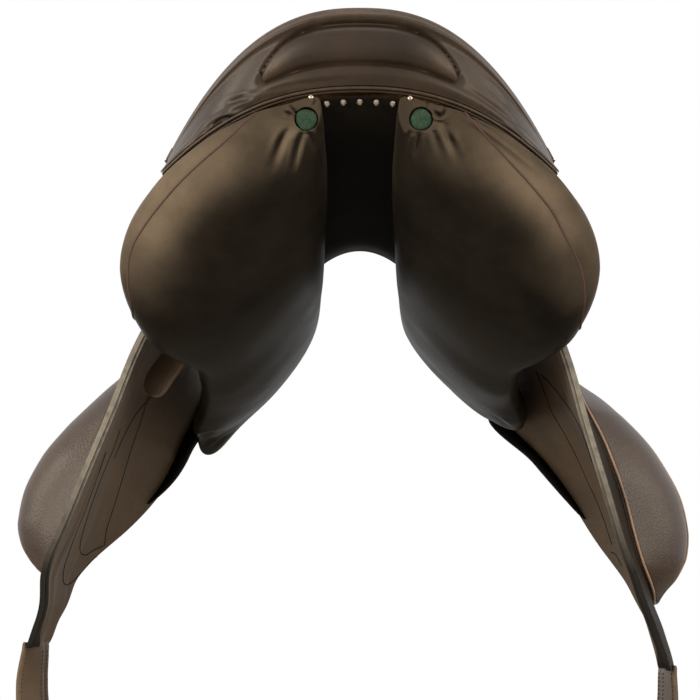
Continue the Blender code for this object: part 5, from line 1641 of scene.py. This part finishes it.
def dress_billets(side, word, place):
    """Make both billets as stitched straps with a pointed end, and punch their holes."""
    path = billet_path(side)
    twist = BILLET_TWIST[side]
    for where, y in (("rear", BILLET_Y - BILLET_WIDTH / 2 - BILLET_APART),
                     ("front", BILLET_Y + BILLET_WIDTH / 2 + BILLET_APART)):
        body = "billet_%s_%s" % (where, word)
        line, turns = billet_line(path, side, twist, y)
        tangents = np.gradient(line, axis=0)
        run = np.concatenate([[0], np.cumsum(np.linalg.norm(np.diff(line, axis=0), axis=1))])
        rings, seats = [], []
        for point, tangent, turn, done in zip(line, tangents, turns, run):
            turn = math.radians(turn)
            normal = np.array((math.cos(turn) * side, math.sin(turn), 0.0))
            tangent = tangent / np.linalg.norm(tangent)
            across = np.cross(tangent, normal)
            across /= np.linalg.norm(across)
            out = np.cross(across, tangent)
            tip = (run[-1] - done) / BILLET_POINT
            half = BILLET_WIDTH / 2 * (1 if tip > 1 else max(1 - (1 - tip) ** 2.2, 0.12))
            thick = BILLET_THICK / 2 * min(0.55 + done / 0.004, 1.0)
            rings.append([point + across * half * u + out * thick * v
                          for u, v, _ in BILLET_SECTION])
            if done > 0.006:
                seats.append((point, out * (thick + 0.0001),
                              across * max(half - BILLET_SEAM, 0.0004)))
        worn = [rub for _, _, rub in BILLET_SECTION] * len(rings) + [0.5, 0.5]
        billet = make("billet_leather_%s_%s" % (where, word), lofted(rings), body, BRIDLE,
                      (body,), place=place, worn=worn)
        punch(billet, side, path, twist, y, place)
        rows = [moved([seat + out * face - wide for seat, out, wide in seats]
                      + [seat + out * face + wide for seat, out, wide in reversed(seats)], place)
                for face in (-1, 1)]
        sew("billet_stitches_%s_%s" % (where, word), rows, body)


def punch(billet, side, path, twist, y, place):
    """Punch a billet's holes with one cutter of all its pins."""
    turn = math.radians(twist)
    normal = Vector((math.cos(turn) * side, math.sin(turn), 0.0))
    pin = Vector((0, 0, 1)).rotation_difference(normal).to_matrix().to_4x4()
    cutter = bmesh.new()
    for k in range(BILLET_HOLES):
        x, z = path[len(path) - 2 - k]
        bmesh.ops.create_cone(cutter, cap_ends=True, segments=16, radius1=BILLET_HOLE_RADIUS,
                              radius2=BILLET_HOLE_RADIUS, depth=4 * BILLET_THICK,
                              matrix=place @ Matrix.Translation((x * side, y, z)) @ pin)
    mesh = bpy.data.meshes.new("pins")
    cutter.to_mesh(mesh)
    cutter.free()
    pins = bpy.data.objects.new("pins", mesh)
    bpy.context.scene.collection.objects.link(pins)
    cut = billet.modifiers.new("holes", "BOOLEAN")
    cut.operation = "DIFFERENCE"
    cut.object = pins
    billet.data = evaluated_mesh(billet, billet.name)
    billet.modifiers.clear()
    bpy.data.objects.remove(pins)


dress_seat()
dress_facing()
dress_crescent()
dress_sides()
dress_welt()
dress_panels()
dress_channel()
dress_tabs()
dress_corner_nails()
dress_front()
for side, word in SIDES:
    dress_flap(side, word)


# Light, floor and camera

# Soft lamps: place, what they point at, size, power in watts and colour
LAMPS = {
    "rear_left": ((-1.55, -1.65, 0.30), (0.0, 0.0, -0.02), (0.7, 1.0), 34, "fff0dd"),
    "rear_right": ((1.55, -1.60, 0.30), (0.0, 0.0, -0.02), (0.7, 1.0), 24, "fff0dd"),
    "side_left": ((-2.1, -0.35, 0.85), (0.0, 0.0, -0.05), (0.8, 0.8), 22, "fff0dd"),
    "side_right": ((2.1, -0.35, 0.75), (0.0, 0.0, -0.05), (0.8, 0.8), 15, "fff0dd"),
    "top": ((0.0, -0.7, 2.0), (0.0, -0.1, 0.0), (1.2, 0.9), 12, "fff4e6"),
}
FLOOR_Z = -0.68         # just below the billets' ends
FLOOR_HALF = 3.0
SENSOR = 36.0           # camera's sensor width in millimetres


def put_on_stage(name, data):
    """Return a new staged object, which belongs to the studio and not to the saddle."""
    obj = bpy.data.objects.new(name, data)
    bpy.context.scene.collection.objects.link(obj)
    return obj


for name, (place, towards, size, power, colour) in LAMPS.items():
    lamp = bpy.data.lights.new(name, "AREA")
    lamp.shape = "RECTANGLE"
    lamp.size, lamp.size_y = size
    lamp.energy = power
    lamp.color = srgb(colour)[:3]
    light = put_on_stage(name, lamp)
    light.location = place
    light.rotation_euler = (Vector(towards) - Vector(place)).to_track_quat("-Z", "Y").to_euler()

# Floor: pale and matt, so that it holds the shadow
corners = [(x * FLOOR_HALF, y * FLOOR_HALF, FLOOR_Z)
           for x, y in ((-1, -1), (1, -1), (1, 1), (-1, 1))]
floor = bpy.data.meshes.new("floor")
floor.from_pydata(corners, [], [(0, 1, 2, 3)])
pale, _, pale_shader = new_material("pale_floor")
pale_shader.inputs["Base Color"].default_value = srgb("d8d8d6")
pale_shader.inputs["Roughness"].default_value = 0.9
floor.materials.append(pale)
put_on_stage("floor", floor)

# World: white where it is seen, mirrored or shone through, and nearly dark as a light
world = bpy.data.worlds.new("studio")
world.use_nodes = True
tree = world.node_tree
tree.nodes.clear()
rays = add(tree, "ShaderNodeLightPath").outputs
glossy = add(tree, "ShaderNodeMath", {0: rays["Is Camera Ray"], 1: rays["Is Glossy Ray"]},
             operation="MAXIMUM")
shown = add(tree, "ShaderNodeMath", {0: glossy.outputs[0], 1: rays["Is Transmission Ray"]},
            operation="MAXIMUM")
soft = add(tree, "ShaderNodeBackground", {"Color": (0.85, 0.87, 0.9, 1.0), "Strength": 0.04})
white = add(tree, "ShaderNodeBackground", {"Color": (1.0, 1.0, 1.0, 1.0), "Strength": 1.0})
both = add(tree, "ShaderNodeMixShader", {0: shown.outputs[0],
                                         1: soft.outputs[0], 2: white.outputs[0]})
add(tree, "ShaderNodeOutputWorld", {"Surface": both.outputs[0]})
bpy.context.scene.world = world

lens = bpy.data.cameras.new("photo_camera")
lens.sensor_width = SENSOR
lens.lens = SENSOR * FOCAL_PX / PICTURE_PX
camera = put_on_stage("photo_camera", lens)
camera.location = STAND
camera.rotation_euler = AIM.to_euler()
bpy.context.scene.camera = camera
bpy.context.scene.view_settings.view_transform = "Standard"
